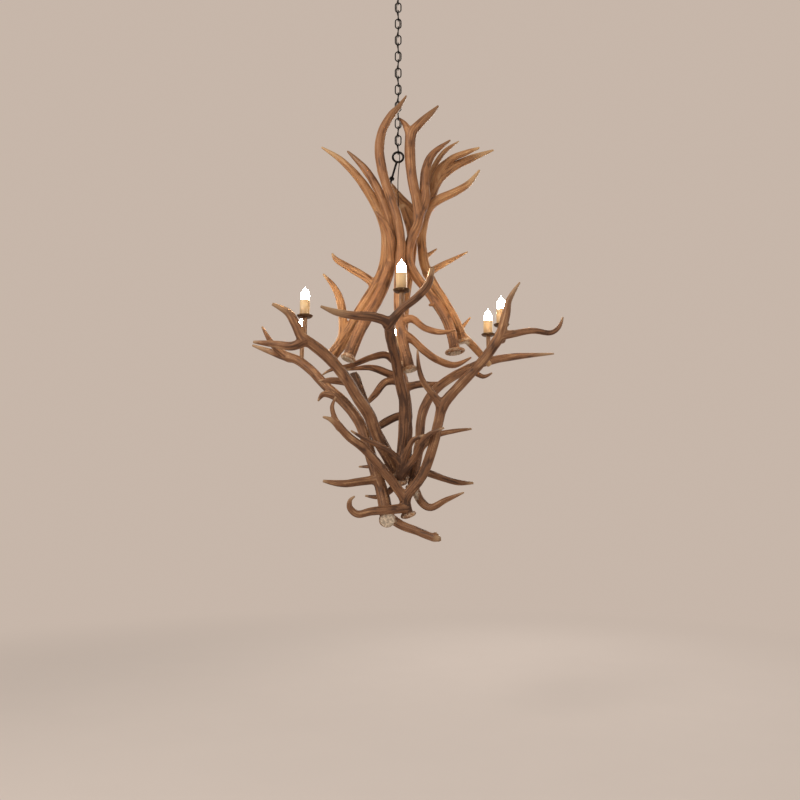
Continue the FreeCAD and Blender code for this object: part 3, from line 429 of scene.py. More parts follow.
class Branch:
    """A branch's line, its radii, the way along it and a side that doesn't twist."""

    def __init__(self, line):
        self.middle = line[:, :3]
        self.radius = line[:, 3]
        steps = np.linalg.norm(np.diff(self.middle, axis=0), axis=1)
        self.along = np.concatenate([[0], np.cumsum(steps)])
        self.length = self.along[-1]
        tangent = np.gradient(self.middle, axis=0)
        self.tangent = tangent / np.linalg.norm(tangent, axis=1)[:, None]
        side = np.cross(self.tangent[0], (0, 1, 0))
        sides = []
        for way in self.tangent:
            side = side - way * side.dot(way)
            side = side / np.linalg.norm(side)
            sides.append(side)
        self.side = np.array(sides)

    def near(self, points):
        """For each point: how far it is outside the branch, the way out, and where along and around it is."""
        start, run = self.middle[:-1], np.diff(self.middle, axis=0)
        rise = np.diff(self.radius)
        length2 = (run ** 2).sum(1)
        part = np.einsum("nmk,mk->nm", points[:, None] - start, run) / length2
        part = np.clip(part, 0, 1)
        off = points[:, None] - (start + part[..., None] * run)
        far = np.linalg.norm(off, axis=2)
        outside = far - (self.radius[:-1] + part * rise)
        pick = outside.argmin(1)
        row = np.arange(len(points))
        t = part[row, pick]
        out = off[row, pick] / np.maximum(far[row, pick], 1e-9)[:, None]
        side = self.side[pick] * (1 - t)[:, None] + self.side[pick + 1] * t[:, None]
        other = np.cross(self.tangent[pick], side)
        angle = np.arctan2((out * other).sum(1), (out * side).sum(1))
        along = self.along[pick] * (1 - t) + self.along[pick + 1] * t
        radius = self.radius[pick] * (1 - t) + self.radius[pick + 1] * t
        return outside[row, pick], out, along, angle, radius


def branches_of(name):
    spec = ANTLERS[name]
    return {part: Branch(branch_line(points, spec["girth"])) for part, points in spec.items()
            if part not in ("girth", "burr")}


LINES = {name: branches_of(name) for name in ANTLERS}
print("longest beam: %.2f m" % max(lines["beam"].length for lines in LINES.values()))

# %% [markdown]
# ## A rough body with Geometry Nodes
# What follows a path is a job for Geometry Nodes. This tree turns every branch into a tube and strings
# pearls, the little knobs of a burr, round the ring at the antler's base. A voxel remesh then melts tubes,
# ring and pearls into one closed skin. The tree's inputs are the number of pearls, their size and a seed,
# so each burr differs.

# %% A Geometry Nodes helper


class Tree:
    """A Geometry Nodes tree with named inputs."""

    def __init__(self, name, **inputs):
        self.group = bpy.data.node_groups.new(name, "GeometryNodeTree")
        face = self.group.interface
        face.new_socket("Geometry", in_out="INPUT", socket_type="NodeSocketGeometry")
        self.keys = {}
        for label, (kind, value) in inputs.items():
            socket = face.new_socket(label, in_out="INPUT", socket_type="NodeSocket" + kind)
            socket.default_value = value
            self.keys[label] = socket.identifier
        face.new_socket("Geometry", in_out="OUTPUT", socket_type="NodeSocketGeometry")
        self.given = self.group.nodes.new("NodeGroupInput")

    def add(self, kind, settings=None, **inputs):
        """Add a node and return it. Underscores in an input's name stand for spaces."""
        if not kind.startswith(("Shader", "Function")):
            kind = "GeometryNode" + kind
        node = self.group.nodes.new(kind)
        for name, value in (settings or {}).items():
            setattr(node, name, value)
        for name, value in inputs.items():
            socket = node.inputs[name.replace("_", " ")]
            for one in value if isinstance(value, list) else [value]:
                if isinstance(one, bpy.types.NodeSocket):
                    self.group.links.new(one, socket)
                else:
                    socket.default_value = one
        return node

    def ask(self, label):
        return self.given.outputs[label]

    def end(self, geometry, material):
        """Realize the instances, set the material and close the tree."""
        whole = self.add("RealizeInstances", Geometry=geometry)
        coated = self.add("SetMaterial", Geometry=whole.outputs[0], Material=material)
        out = self.group.nodes.new("NodeGroupOutput")
        self.group.links.new(coated.outputs[0], out.inputs[0])
        return self

    def on(self, thing, **values):
        """Put the tree on an object with its inputs set."""
        modifier = thing.modifiers.new(self.group.name, "NODES")
        modifier.node_group = self.group
        for label, value in values.items():
            modifier[self.keys[label]] = value
        return modifier


def plain_object(name, mesh):
    thing = bpy.data.objects.new(name, mesh)
    bpy.context.scene.collection.objects.link(thing)
    return thing


def baked(thing, name):
    """The evaluated object as a plain mesh object, in place of the first."""
    depsgraph = bpy.context.evaluated_depsgraph_get()
    mesh = bpy.data.meshes.new_from_object(thing.evaluated_get(depsgraph))
    mesh.name = name
    bpy.data.objects.remove(thing)
    return plain_object(name, mesh)


# %% The tree of an antler's rough body


def antler_tree():
    tree = Tree("antler_body", Pearls=("Int", 24), Pearl_Size=("Float", 0.004), Seed=("Int", 1))
    lines = tree.add("MeshToCurve", Mesh=tree.ask("Geometry"))
    thick = tree.add("InputNamedAttribute", {"data_type": "FLOAT"}, Name="thickness")
    profile = tree.add("CurvePrimitiveCircle", Resolution=20, Radius=1.0)
    tubes = tree.add("CurveToMesh", Curve=lines.outputs[0], Profile_Curve=profile.outputs[0],
                     Scale=thick.outputs[0], Fill_Caps=True)
    ring = tree.add("InputNamedAttribute", {"data_type": "BOOLEAN"}, Name="ring")
    ring_line = tree.add("MeshToCurve", Mesh=tree.ask("Geometry"), Selection=ring.outputs[0])
    seats = tree.add("ResampleCurve", Curve=ring_line.outputs[0], Count=tree.ask("Pearls"))
    knob = tree.add("MeshIcoSphere", Radius=tree.ask("Pearl_Size"), Subdivisions=2)
    size = tree.add("FunctionNodeRandomValue", {"data_type": "FLOAT"}, Seed=tree.ask("Seed"))
    size.inputs[2].default_value = 0.75
    size.inputs[3].default_value = 1.3
    push = tree.add("FunctionNodeRandomValue", {"data_type": "FLOAT_VECTOR"}, Seed=tree.ask("Seed"))
    push.inputs[0].default_value = (-0.0022, -0.0022, -0.0022)
    push.inputs[1].default_value = (0.0022, 0.0022, 0.0022)
    strewn = tree.add("SetPosition", Geometry=seats.outputs[0], Offset=push.outputs[0])
    pearls = tree.add("InstanceOnPoints", Points=strewn.outputs[0], Instance=knob.outputs[0],
                      Scale=size.outputs[1])
    return tree.end(tree.add("JoinGeometry", Geometry=[tubes.outputs[0], pearls.outputs[0]]).outputs[0],
                    ANTLER_FINISHES["brown_antler"])


ANTLER_TREE = antler_tree()
print("antler tree:", len(ANTLER_TREE.group.nodes), "nodes")

# %% The paths that the tree follows
BURR_WIRE = 7 * MM
PEDICLE = 9 * MM
RING_POINTS = 28


def burr_ring(name, beam):
    """The middle line of the burr's ring, or None for an antler without its base."""
    burr = ANTLERS[name]["burr"] * MM
    if not burr:
        return None
    axis = beam.middle[STEPS] - beam.middle[0]
    axis = axis / np.linalg.norm(axis)
    side = beam.side[0] - axis * axis.dot(beam.side[0])
    side = side / np.linalg.norm(side)
    other = np.cross(axis, side)
    turn = np.linspace(0, 2 * math.pi, RING_POINTS, endpoint=False)[:, None]
    return beam.middle[0] + axis * PEDICLE + (side * np.cos(turn) + other * np.sin(turn)) * (burr - BURR_WIRE)


def path_mesh(name):
    """The branches and the burr ring as bare edges, with their thickness."""
    places, edges, thickness, on_ring = [], [], [], []
    for branch in LINES[name].values():
        first = len(places)
        places += branch.middle.tolist()
        thickness += branch.radius.tolist()
        edges += [(first + i, first + i + 1) for i in range(len(branch.middle) - 1)]
        on_ring += [False] * len(branch.middle)
    ring = burr_ring(name, LINES[name]["beam"])
    if ring is not None:
        first = len(places)
        places += ring.tolist()
        thickness += [BURR_WIRE * 0.86] * len(ring)
        edges += [(first + i, first + (i + 1) % len(ring)) for i in range(len(ring))]
        on_ring += [True] * len(ring)
    mesh = bpy.data.meshes.new(name)
    mesh.from_pydata(places, edges, [])
    mesh.attributes.new("thickness", "FLOAT", "POINT").data.foreach_set("value", thickness)
    mesh.attributes.new("ring", "BOOLEAN", "POINT").data.foreach_set("value", on_ring)
    return mesh


VOXEL = 2.2 * MM


def rough_antler(name, seed):
    thing = plain_object(name + "_paths", path_mesh(name))
    ANTLER_TREE.on(thing, Pearls=22 + seed % 5, Pearl_Size=0.0046, Seed=seed)
    melt = thing.modifiers.new("melt", "REMESH")
    melt.mode = "VOXEL"
    melt.voxel_size = VOXEL
    return baked(thing, "antler_" + name)


# %% [markdown]
# ## Noise by hand
# The gutters of an antler run along it, so their noise has to be sampled along and around each branch and
# not in plain space. Blender's noise nodes don't know where a branch runs. A few lines of numpy make a
# smooth lattice noise that takes any coordinates, for all the vertices at once.

# %% Lattice noise


def lattice_noise(points, seed=0):
    """Smooth noise from 0 to 1 at points of three coordinates."""
    cell = np.floor(points).astype(np.int64)
    part = points - cell
    part = part * part * (3 - 2 * part)
    total = np.zeros(len(points))
    for corner in np.ndindex(2, 2, 2):
        x, y, z = (cell + corner).T
        mixed = (x * 73856093) ^ (y * 19349663) ^ (z * 83492791) ^ (seed * 2654435761)
        mixed = (mixed ^ (mixed >> 13)) * 1274126177
        value = ((mixed ^ (mixed >> 16)) & 65535) / 65535
        weight = np.where(corner, part, 1 - part).prod(1)
        total += value * weight
    return total


probe = lattice_noise(np.random.default_rng(1).uniform(0, 50, (1000, 3)))
print("noise from %.2f to %.2f" % (probe.min(), probe.max()))

# %% [markdown]
# ## Growing the antler
# The remeshed skin is only a start. Each vertex is moved onto an exact surface: the distance to every
# branch is known, and a smooth minimum of those distances makes the webbed crotch where a tine leaves its
# beam. Then the gutters are cut in and the pearls raised, and what each vertex got is stored for the
# material. The vertices of the burr stay where the remesh put them.

# %% Shape an antler
# how wide the webs are, how far the burr keeps its rough shape, and how far a vertex looks for a branch
WEB = 11 * MM
BURR_KEEP = 7 * MM
REACH = 34 * MM
# some antlers are stained darker than the others
STAIN = {"front_arm": 0.15, "short_arm": 0.1, "back_arm": 0.1}


def settle(points, branches):
    """How far each point is outside the antler, the way out, and its place on the nearest branch."""
    count = len(points)
    outside, nearest = np.full(count, 1.0), np.full(count, 1.0)
    way = np.zeros((count, 3))
    along, angle, radius, share, of_beam = (np.zeros(count) for _ in range(5))
    for part, branch in branches.items():
        low, high = branch.middle.min(0) - REACH, branch.middle.max(0) + REACH
        close = np.flatnonzero(((points > low) & (points < high)).all(1))
        for chunk in np.array_split(close, len(close) // 8000 + 1):
            if not len(chunk):
                continue
            far, out, s, turn, r = branch.near(points[chunk])
            web = np.minimum(WEB, r * 0.8)
            new = np.clip(0.5 + 0.5 * (outside[chunk] - far) / web, 0, 1)
            way[chunk] = way[chunk] * (1 - new)[:, None] + out * new[:, None]
            outside[chunk] = outside[chunk] * (1 - new) + far * new - web * new * (1 - new)
            mine = chunk[far < nearest[chunk]]
            pick = far < nearest[chunk]
            nearest[mine] = far[pick]
            along[mine], angle[mine], radius[mine] = s[pick], turn[pick], r[pick]
            share[mine] = s[pick] / branch.length
            of_beam[mine] = part == "beam"
    way = way / np.maximum(np.linalg.norm(way, axis=1), 1e-9)[:, None]
    return outside, way, along, angle, radius, share, of_beam


def smooth_step(low, high, value):
    t = np.clip((value - low) / (high - low), 0, 1)
    return t * t * (3 - 2 * t)


def burr_masks(name, points):
    """Where the points are on the burr and where on the pale face under it, from 0 to 1."""
    beam = LINES[name]["beam"]
    ring = burr_ring(name, beam)
    if ring is None:
        return np.zeros(len(points)), np.zeros(len(points))
    start, middle = beam.middle[0], ring.mean(0)
    axis = (middle - start) / np.linalg.norm(middle - start)
    height = (points - start) @ axis
    across = np.linalg.norm(points - start - height[:, None] * axis, axis=1)
    reach = np.linalg.norm(ring[0] - middle)
    near_ring = np.hypot(across - reach, height - PEDICLE)
    burr = 1 - smooth_step(BURR_WIRE, BURR_WIRE + BURR_KEEP, near_ring)
    under = across < reach + BURR_WIRE
    burr = np.maximum(burr, under * (1 - smooth_step(PEDICLE * 0.6, PEDICLE * 1.2, height)))
    sawn = (height < PEDICLE * 0.35) & (across < reach + 2 * MM)
    return burr, sawn * 1.0


def grow_antler(name, seed):
    """One finished antler with its gutters, pearls and stored values."""
    thing = rough_antler(name, seed)
    mesh = thing.data
    points = np.empty(len(mesh.vertices) * 3)
    mesh.vertices.foreach_get("co", points)
    points = points.reshape(-1, 3)
    branches = LINES[name]
    burr, sawn = burr_masks(name, points)
    for _ in range(2):
        outside, way, along, angle, radius, share, of_beam = settle(points, branches)
        points -= way * (outside * (1 - burr))[:, None]
    outside, way, along, angle, radius, share, of_beam = settle(points, branches)
    around = np.stack([np.cos(angle), np.sin(angle)], axis=1) * (radius / (8.5 * MM))[:, None]
    drawn_out = np.column_stack([around, along / (95 * MM)])
    broad = lattice_noise(drawn_out + 40, seed)
    fine = lattice_noise(drawn_out * (2.4, 2.4, 2.0) + 90, seed + 1)
    lumps = lattice_noise(points / (38 * MM) + 70, seed + 2)
    knobs = lattice_noise(points / (4.6 * MM) + 70, seed + 3)
    gutter = smooth_step(0.62, 0.98, 1 - np.abs(2 * broad - 1))
    fade = 1 - 0.85 * smooth_step(0.55, 0.95, share)
    near_base = of_beam * np.exp(-along / (110 * MM)) + 0.16
    depth = 1.5 * MM * np.clip(radius / (20 * MM), 0.25, 1) * fade
    pearls = smooth_step(0.6, 0.95, knobs) * near_base * fade
    rise = depth * (0.45 * (fine - 0.5) - gutter) + 1.5 * MM * pearls + radius * 0.09 * (lumps - 0.5)
    rise = rise * (1 - burr) + burr * 1.0 * MM * (lattice_noise(points / (3.4 * MM) + 20, seed) - 0.6)
    points += way * (rise * (1 - sawn))[:, None]
    stain = STAIN.get(name, 0) + 0.26 * of_beam * np.exp(-along / (150 * MM))
    wear = np.clip(0.64 - stain - 0.26 * gutter + 0.34 * (fine - 0.5) + 0.4 * pearls, 0, 1)
    wear = wear * (1 - burr) + burr * np.clip(0.35 + 0.6 * lattice_noise(points / (5 * MM), seed), 0, 1)
    streak = lattice_noise(drawn_out * (5.5, 5.5, 1.6) + 130, seed + 4)
    tip = smooth_step(0.78, 1.0, share) * (1 - burr)
    sawn = np.maximum(sawn, 0.55 * burr * smooth_step(0.3, 0.7, lattice_noise(points / (6 * MM) + 50, seed)))
    mesh.vertices.foreach_set("co", points.ravel())
    for label, values in (("wear", wear), ("streak", streak), ("tip", tip), ("sawn", sawn)):
        mesh.attributes.new(label, "FLOAT", "POINT").data.foreach_set("value", values)
    mesh.shade_smooth()
    mesh.materials.clear()
    mesh.materials.append(ANTLER_FINISHES[SLOT_OF[name]])
    mesh.update()
    return thing


# %% Make the thirteen antlers
SLOT_OF = {s["node"]: s["material_slot"] for s in frame["record"]["subparts"]}
BODY_OF = {node: body for body, nodes in frame["record"]["behaviour"]["bodies"].items() for node in nodes}
CLUSTER = BODY_OF["hanging_eye_bolt"]


def stand_for(piece, *nodes):
    """Let a piece ride on its nodes' body and stand for them."""
    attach(piece, BODY_OF[nodes[0]])
    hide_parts(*nodes)


for seed, name in enumerate(ANTLERS, start=3):
    grown = grow_antler(name, seed)
    stand_for(grown, name)
    print(f"{name}: {len(grown.data.polygons)} faces")

# %% [markdown]
# ## Metal, wax, wood and glass
# The chain and the canopy are steel with a blackened finish that has rubbed bright on its high spots. The
# dishes are the same steel with a brown, waxy patina. The sleeves are moulded candle wax, milky and a
# little yellow, and the bulbs glow, so most of their look is light.

# %% The other finishes


def metal_finish(name, dark, bright, rough, patch=60.0):
    f = Finish(name)
    clouds = f.noise(scale=patch, detail=4)
    scratches = f.noise(scale=900, detail=2)
    rubbed = f.spread(clouds + (scratches - 0.5) * 0.3, 0.55, 0.78)
    return f.surface(Base_Color=f.mix(rubbed, dark, bright), Metallic=0.7,
                     Roughness=rough + (scratches - 0.5) * 0.25 - rubbed * 0.12,
                     Normal=f.bump(clouds + scratches * 0.3, distance=0.0004, strength=0.6))


def cord_finish():
    f = Finish("cord_sheath")
    weave = f.node("ShaderNodeTexWave", {"wave_type": "BANDS", "bands_direction": "DIAGONAL"},
                   {"Vector": f.place(), "Scale": 300.0, "Distortion": 1.5}, output="Fac")
    return f.surface(Base_Color=f.mix(weave, (0.020, 0.014, 0.010), (0.060, 0.043, 0.030)), Roughness=0.75,
                     Normal=f.bump(weave, distance=0.0004, strength=0.7))


def wax_finish():
    f = Finish("candle_ivory")
    clouds = f.noise(scale=45, detail=3)
    # the sleeve's wax is made darker towards its foot, with a cloudy edge to the change
    darker_to_foot = f.spread(f.read("foot") + (clouds - 0.5) * 0.5, 0.25, 0.95)
    wax_tone = f.mix(f.spread(clouds, 0.3, 0.7), (0.74, 0.49, 0.24), (0.81, 0.60, 0.34))
    colour = f.mix(darker_to_foot, wax_tone, (0.50, 0.31, 0.15))
    return f.surface(Base_Color=colour, Roughness=0.42 + (clouds - 0.5) * 0.2, Coat_Weight=0.15,
                     Normal=f.bump(f.noise(scale=260, detail=2), distance=0.0003, strength=0.4))


def wood_finish():
    f = Finish("stem_wood")
    squeeze = f.node("ShaderNodeMapping", {}, {"Vector": f.place(), "Scale": (1.0, 1.0, 0.12)})
    grain = f.noise(scale=520, detail=4, where=squeeze)
    colour = f.mix(f.spread(grain, 0.3, 0.7), (0.130, 0.058, 0.024), (0.36, 0.185, 0.080))
    return f.surface(Base_Color=colour, Roughness=0.45, Normal=f.bump(grain, distance=0.0004, strength=0.5))


def plastic_finish():
    f = Finish("socket_black")
    grain = f.noise(scale=700, detail=2)
    return f.surface(Base_Color=f.mix(grain, (0.018, 0.016, 0.014), (0.038, 0.034, 0.030)), Roughness=0.5,
                     Normal=f.bump(grain, distance=0.0002, strength=0.4))


GLOW = 110.0


def glow_finish():
    f = Finish("bulb_glow")
    up = f.read("up")
    lit = f.spread(up, 0.05, 0.4)
    light = f.mix(lit, (0.55, 0.22, 0.06), (1.0, 0.80, 0.52))
    return f.surface(Base_Color=f.mix(lit, (0.50, 0.36, 0.20), (0.95, 0.88, 0.74)), Roughness=0.08,
                     Emission_Color=light, Emission_Strength=GLOW)


FINISHES = {
    "blackened_steel": metal_finish("blackened_steel", (0.008, 0.007, 0.006), (0.045, 0.038, 0.032), 0.50),
    "plain_steel": metal_finish("plain_steel", (0.014, 0.012, 0.011), (0.075, 0.066, 0.058), 0.42),
    "dish_metal": metal_finish("dish_metal", (0.115, 0.060, 0.028), (0.50, 0.34, 0.19), 0.42, patch=90.0),
    "bulb_cap": metal_finish("bulb_cap", (0.36, 0.24, 0.10), (0.70, 0.52, 0.26), 0.30),
    "cord_sheath": cord_finish(),
    "candle_ivory": wax_finish(),
    "stem_wood": wood_finish(),
    "socket_black": plastic_finish(),
    "bulb_glass": glow_finish(),
}
print("other finishes:", len(FINISHES))

# %% [markdown]
# ## The chain
# A welded link is a rod bent into a stadium and closed with a weld at the middle of one side. It is a path
# with a profile, so it is another small tree: a rounded rectangle swept with a circle, and a weld bead on
# one leg. Each link rides on its own body, so the tree is used nineteen times, turned by 90 degrees for
# every other link.

# %% The tree of a link


def link_tree():
    tree = Tree("welded_link", Long=("Float", 0.0418), Wide=("Float", 0.023), Wire=("Float", 0.0025),
                Turn=("Vector", (0, 0, 0)), Place=("Vector", (0, 0, 0)), Bead=("Float", 1.0))
    frame_line = tree.add("CurvePrimitiveQuadrilateral", Width=tree.ask("Wide"), Height=tree.ask("Long"))
    half = tree.add("ShaderNodeMath", {"operation": "MULTIPLY"})
    tree.group.links.new(tree.ask("Wide"), half.inputs[0])
    half.inputs[1].default_value = 0.4999
    bent = tree.add("FilletCurve", Curve=frame_line.outputs[0], Radius=half.outputs[0])
    bent.mode = "POLY"
    bent.inputs["Count"].default_value = 12
    profile = tree.add("CurvePrimitiveCircle", Resolution=14, Radius=tree.ask("Wire"))
    rod = tree.add("CurveToMesh", Curve=bent.outputs[0], Profile_Curve=profile.outputs[0])
    ball = tree.add("MeshUVSphere", Segments=14, Rings=9, Radius=tree.ask("Wire"))
    leg = tree.add("ShaderNodeCombineXYZ")
    tree.group.links.new(half.outputs[0], leg.inputs[0])
    swell = tree.add("ShaderNodeCombineXYZ")
    for i, factor in enumerate((1.16, 1.16, 0.75)):
        part = tree.add("ShaderNodeMath", {"operation": "MULTIPLY"})
        tree.group.links.new(tree.ask("Bead"), part.inputs[0])
        part.inputs[1].default_value = factor
        tree.group.links.new(part.outputs[0], swell.inputs[i])
    bead = tree.add("Transform", Geometry=ball.outputs[0], Translation=leg.outputs[0], Scale=swell.outputs[0])
    both = tree.add("JoinGeometry", Geometry=[rod.outputs[0], bead.outputs[0]])
    upright = tree.add("Transform", Geometry=both.outputs[0], Rotation=(math.pi / 2, 0, 0))
    placed = tree.add("Transform", Geometry=upright.outputs[0], Rotation=tree.ask("Turn"),
                      Translation=tree.ask("Place"))
    smooth = tree.add("SetShadeSmooth", Geometry=placed.outputs[0])
    return tree.end(smooth.outputs[0], FINISHES["blackened_steel"])


LINK_TREE = link_tree()

# %% Hang the nineteen links
LINK_NODES = sorted(node for node in frame["nodes"] if node.startswith("chain_link"))
LINK_WIRE = 2.5 * MM
link_heights = []
for number, node in enumerate(LINK_NODES, start=1):
    low, high = (Vector(corner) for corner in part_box(node))
    middle, size = (low + high) / 2, high - low
    link_heights.append(middle.z)
    quarter = math.pi / 2 if number % 2 else 0.0
    thing = plain_object(node + "_seed", bpy.data.meshes.new(node + "_seed"))
    LINK_TREE.on(thing, Long=size.z - 2 * LINK_WIRE, Wide=max(size.x, size.y) - 2 * LINK_WIRE, Wire=LINK_WIRE,
                 Turn=(0.0, 0.0, quarter + math.pi * (number % 4 > 1)), Place=tuple(middle), Bead=1.0)
    stand_for(baked(thing, "welded_" + node), node)
PITCH = link_heights[0] - link_heights[1]
print(f"{len(LINK_NODES)} links, {PITCH / MM:.1f} mm apart")

# %% [markdown]
# ## The supply cord
# The cord is woven through the chain: it crosses from one side to the other through every link, hangs
# behind the eye bolt and goes into the front antler of the neck. It has to bend when the chain swings. It
# is made in pieces from the middle of one link to the middle of the next.

# %% The cord's route
CORD_RADIUS = 1.8 * MM
WEAVE = 6.4 * MM
CORD_END = [(5, 9.5, -800), (0, 8, -848), (-1, 5, -896), (0, -2, -944), (1, -14, -988), (4, -36, -1026),
            (6, -64, -1052)]


def cord_route():
    """The same points as the solid cord's: down the tube, past every link and into the antler."""
    points = [(0, 0, -6 * MM), (0, 0, -44 * MM)]
    side_x, side_y = 1, -1
    for number in range(len(LINK_NODES) + 1):
        points.append((side_x * WEAVE, side_y * WEAVE, link_heights[0] + PITCH * (0.5 - number)))
        if number % 2:
            side_y = -side_y
        else:
            side_x = -side_x
    x, y, z = points[-1]
    points[-1] = (x + 0.8 * MM, y + 1.2 * MM, z)
    return points + [tuple(v * MM for v in p) for p in CORD_END]


def smooth_line(points, resolution=10):
    """Points along a NURBS curve through a route."""
    curve = bpy.data.curves.new("route", "CURVE")
    curve.dimensions = "3D"
    curve.resolution_u = resolution
    spline = curve.splines.new("NURBS")
    spline.points.add(len(points) - 1)
    for point, place in zip(spline.points, points):
        point.co = (*place, 1)
    spline.order_u = 3
    spline.use_endpoint_u = True
    thing = plain_object("route", curve)
    mesh = bpy.data.meshes.new_from_object(thing.evaluated_get(bpy.context.evaluated_depsgraph_get()))
    places = [v.co.copy() for v in mesh.vertices]
    bpy.data.objects.remove(thing)
    return places


CORD_LINE = smooth_line(cord_route())
print("cord: %.3f m" % sum((b - a).length for a, b in zip(CORD_LINE, CORD_LINE[1:])))

# %% Cut the cord at every link and make its pieces


def tube_mesh(name, line, radius, sides=12):
    """A closed round tube along a line that runs mostly downwards."""
    places, faces = [], []
    for i, here in enumerate(line):
        way = (line[min(i + 1, len(line) - 1)] - line[max(i - 1, 0)]).normalized()
        side = way.cross(Vector((0, 1, 0))).normalized()
        other = way.cross(side)
        for k in range(sides):
            turn = 2 * math.pi * k / sides
            places.append(here + (side * math.cos(turn) + other * math.sin(turn)) * radius)
    for i in range(len(line) - 1):
        for k in range(sides):
            a, b = i * sides + k, i * sides + (k + 1) % sides
            faces.append((a, b, b + sides, a + sides))
    faces.append(tuple(range(sides - 1, -1, -1)))
    faces.append(tuple(range(len(places) - sides, len(places))))
    mesh = bpy.data.meshes.new(name)
    mesh.from_pydata(places, [], faces)
    mesh.shade_smooth()
    return mesh


def cut_line(line, top, bottom):
    """The part of a line between two heights, with ends exactly there."""
    def cross(height):
        for a, b in zip(line, line[1:]):
            if a.z >= height > b.z:
                return a.lerp(b, (a.z - height) / (a.z - b.z))
        return line[0] if height >= line[0].z else line[-1]
    return [cross(top)] + [p for p in line if bottom < p.z < top] + [cross(bottom)]


bodies_down = [BODY_OF["canopy_loop"]] + [BODY_OF[node] for node in LINK_NODES] + [CLUSTER]
cuts = [1.0] + link_heights + [-10.0]
for number in range(len(bodies_down) - 1):
    stretch = cut_line(CORD_LINE, cuts[number], cuts[number + 1])
    piece = plain_object(f"cord_{number:02d}", tube_mesh(f"cord_{number:02d}", stretch, CORD_RADIUS))
    piece.data.materials.append(FINISHES["cord_sheath"])
    hinge_z = link_heights[0] + PITCH * (0.5 - number)
    top, bottom = (min(cuts[number], hinge_z + PITCH / 2), max(cuts[number + 1], hinge_z - PITCH / 2))
    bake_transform(piece)
    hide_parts("power_cord")
print("cord pieces:", len(bodies_down) - 1)

# %% [markdown]
# ## The candles
# Every lamp is the same set of turned pieces: a dish with a rolled rim that catches drips, a wax-coloured
# sleeve with a few frozen runs of wax, and a bulb like a flame. A lathe function spins an outline round the
# lamp's axis, and the runs are added by moving the sleeve's vertices outwards where a run comes down.

# %% A lathe
LAMP_SIDES = 48


def lathe(name, outline, middle, finish, shape=None):
    """A closed turned piece. The outline runs once round the section, and radius 0 closes it at the axis."""
    places, rings = [], []
    for radius, height in outline:
        first = len(places)
        if radius < 1e-7:
            places.append((0.0, 0.0, height))
            rings.append([first] * LAMP_SIDES)
            continue
        for k in range(LAMP_SIDES):
            turn = 2 * math.pi * k / LAMP_SIDES
            places.append((radius * math.cos(turn), radius * math.sin(turn), height))
        rings.append(list(range(first, first + LAMP_SIDES)))
    closed = outline[0][0] > 1e-7
    faces = []
    for i in range(len(rings) if closed else len(rings) - 1):
        here, there = rings[i], rings[(i + 1) % len(rings)]
        for k in range(LAMP_SIDES):
            n = (k + 1) % LAMP_SIDES
            face = dict.fromkeys((here[k], here[n], there[n], there[k]))
            faces.append(tuple(face))
    places = np.array(places)
    if shape:
        places = shape(places)
    mesh = bpy.data.meshes.new(name)
    mesh.from_pydata((places + np.array(middle)).tolist(), [], faces)
    mesh.materials.append(finish)
    mesh.shade_smooth()
    return mesh


def bend(first, last, steps, bulge):
    """Points from first to last along a shallow arc that bulges to the right of the way."""
    (x0, y0), (x1, y1) = first, last
    out = []
    for i in range(steps + 1):
        t = i / steps
        swell = 4 * t * (1 - t) * bulge
        out.append((x0 + (x1 - x0) * t + (y1 - y0) * swell, y0 + (y1 - y0) * t - (x1 - x0) * swell))
    return out


def mm(points):
    return [(r * MM, h * MM) for r, h in points]


# %% The outlines of a lamp
DISH = mm([(3.4, 0), (10, 0), (19, 0)] + bend((19, 0), (28.4, 7.0), 8, 0.16)[1:]
          + [(29.0, 7.7), (28.6, 8.6), (27.6, 8.7), (26.9, 8.0)] + bend((26.6, 7.6), (19, 2.2), 8, -0.16)[1:]
          + [(3.4, 2.2)])
SLEEVE = mm([(15.8, 0.0), (18.0, 0.0), (18.3, 1.5)] + [(18.0, 2.0 + 58.0 * i / 24) for i in range(25)]
            + [(17.9, 61.0), (17.3, 62.0), (16.4, 62.0), (15.8, 61.2), (15.8, 30.0)])
GLASS = mm([(0, -3)] + [(8.4, -3), (9.1, 0)]
           + [(9.1 + 6.9 * math.sin(math.pi / 2 * i / 8) ** 0.9, 26.0 * i / 8) for i in range(1, 9)]
           + [(16.0 * math.cos(math.pi / 2 * (i / 11) ** 1.25) ** 0.86, 26 + 32 * i / 11)
              for i in range(1, 11)]
           + [(1.1, 59.6), (0.6, 61.6), (0, 62)])
COLLAR = mm([(9.2, -1.0), (10.6, -1.0), (10.9, 0.4), (10.6, 2.6), (9.2, 3.0)])


def wax_runs(seed):
    """A function that adds frozen runs of wax to a sleeve."""
    draw = np.random.default_rng(seed)
    runs = [(draw.uniform(0, 2 * math.pi), draw.uniform(14, 50) * MM, draw.uniform(0.13, 0.24),
             draw.uniform(0.9, 1.9) * MM) for _ in range(7)]

    def shape(places):
        angle = np.arctan2(places[:, 1], places[:, 0])
        radius = np.hypot(places[:, 0], places[:, 1])
        swell = np.zeros(len(places))
        for turn, length, width, thick in runs:
            off = np.abs((angle - turn + math.pi) % (2 * math.pi) - math.pi)
            down = 62 * MM - length
            drop = 1 + 0.7 * np.exp(-((places[:, 2] - down) / (5 * MM)) ** 2)
            run = np.exp(-(off / width) ** 2) * smooth_step(down - 4 * MM, down + 2 * MM, places[:, 2]) * drop
            swell = np.maximum(swell, run * thick)
        swell += 0.25 * MM * (lattice_noise(places / (9 * MM) + 60, seed) - 0.5)
        outer = radius > 17 * MM
        factor = 1 + np.where(outer, swell / np.maximum(radius, 1e-6), 0)
        places[:, 0] *= factor
        places[:, 1] *= factor
        return places
    return shape


def store(mesh, label, values):
    mesh.attributes.new(label, "FLOAT", "POINT").data.foreach_set("value", values)


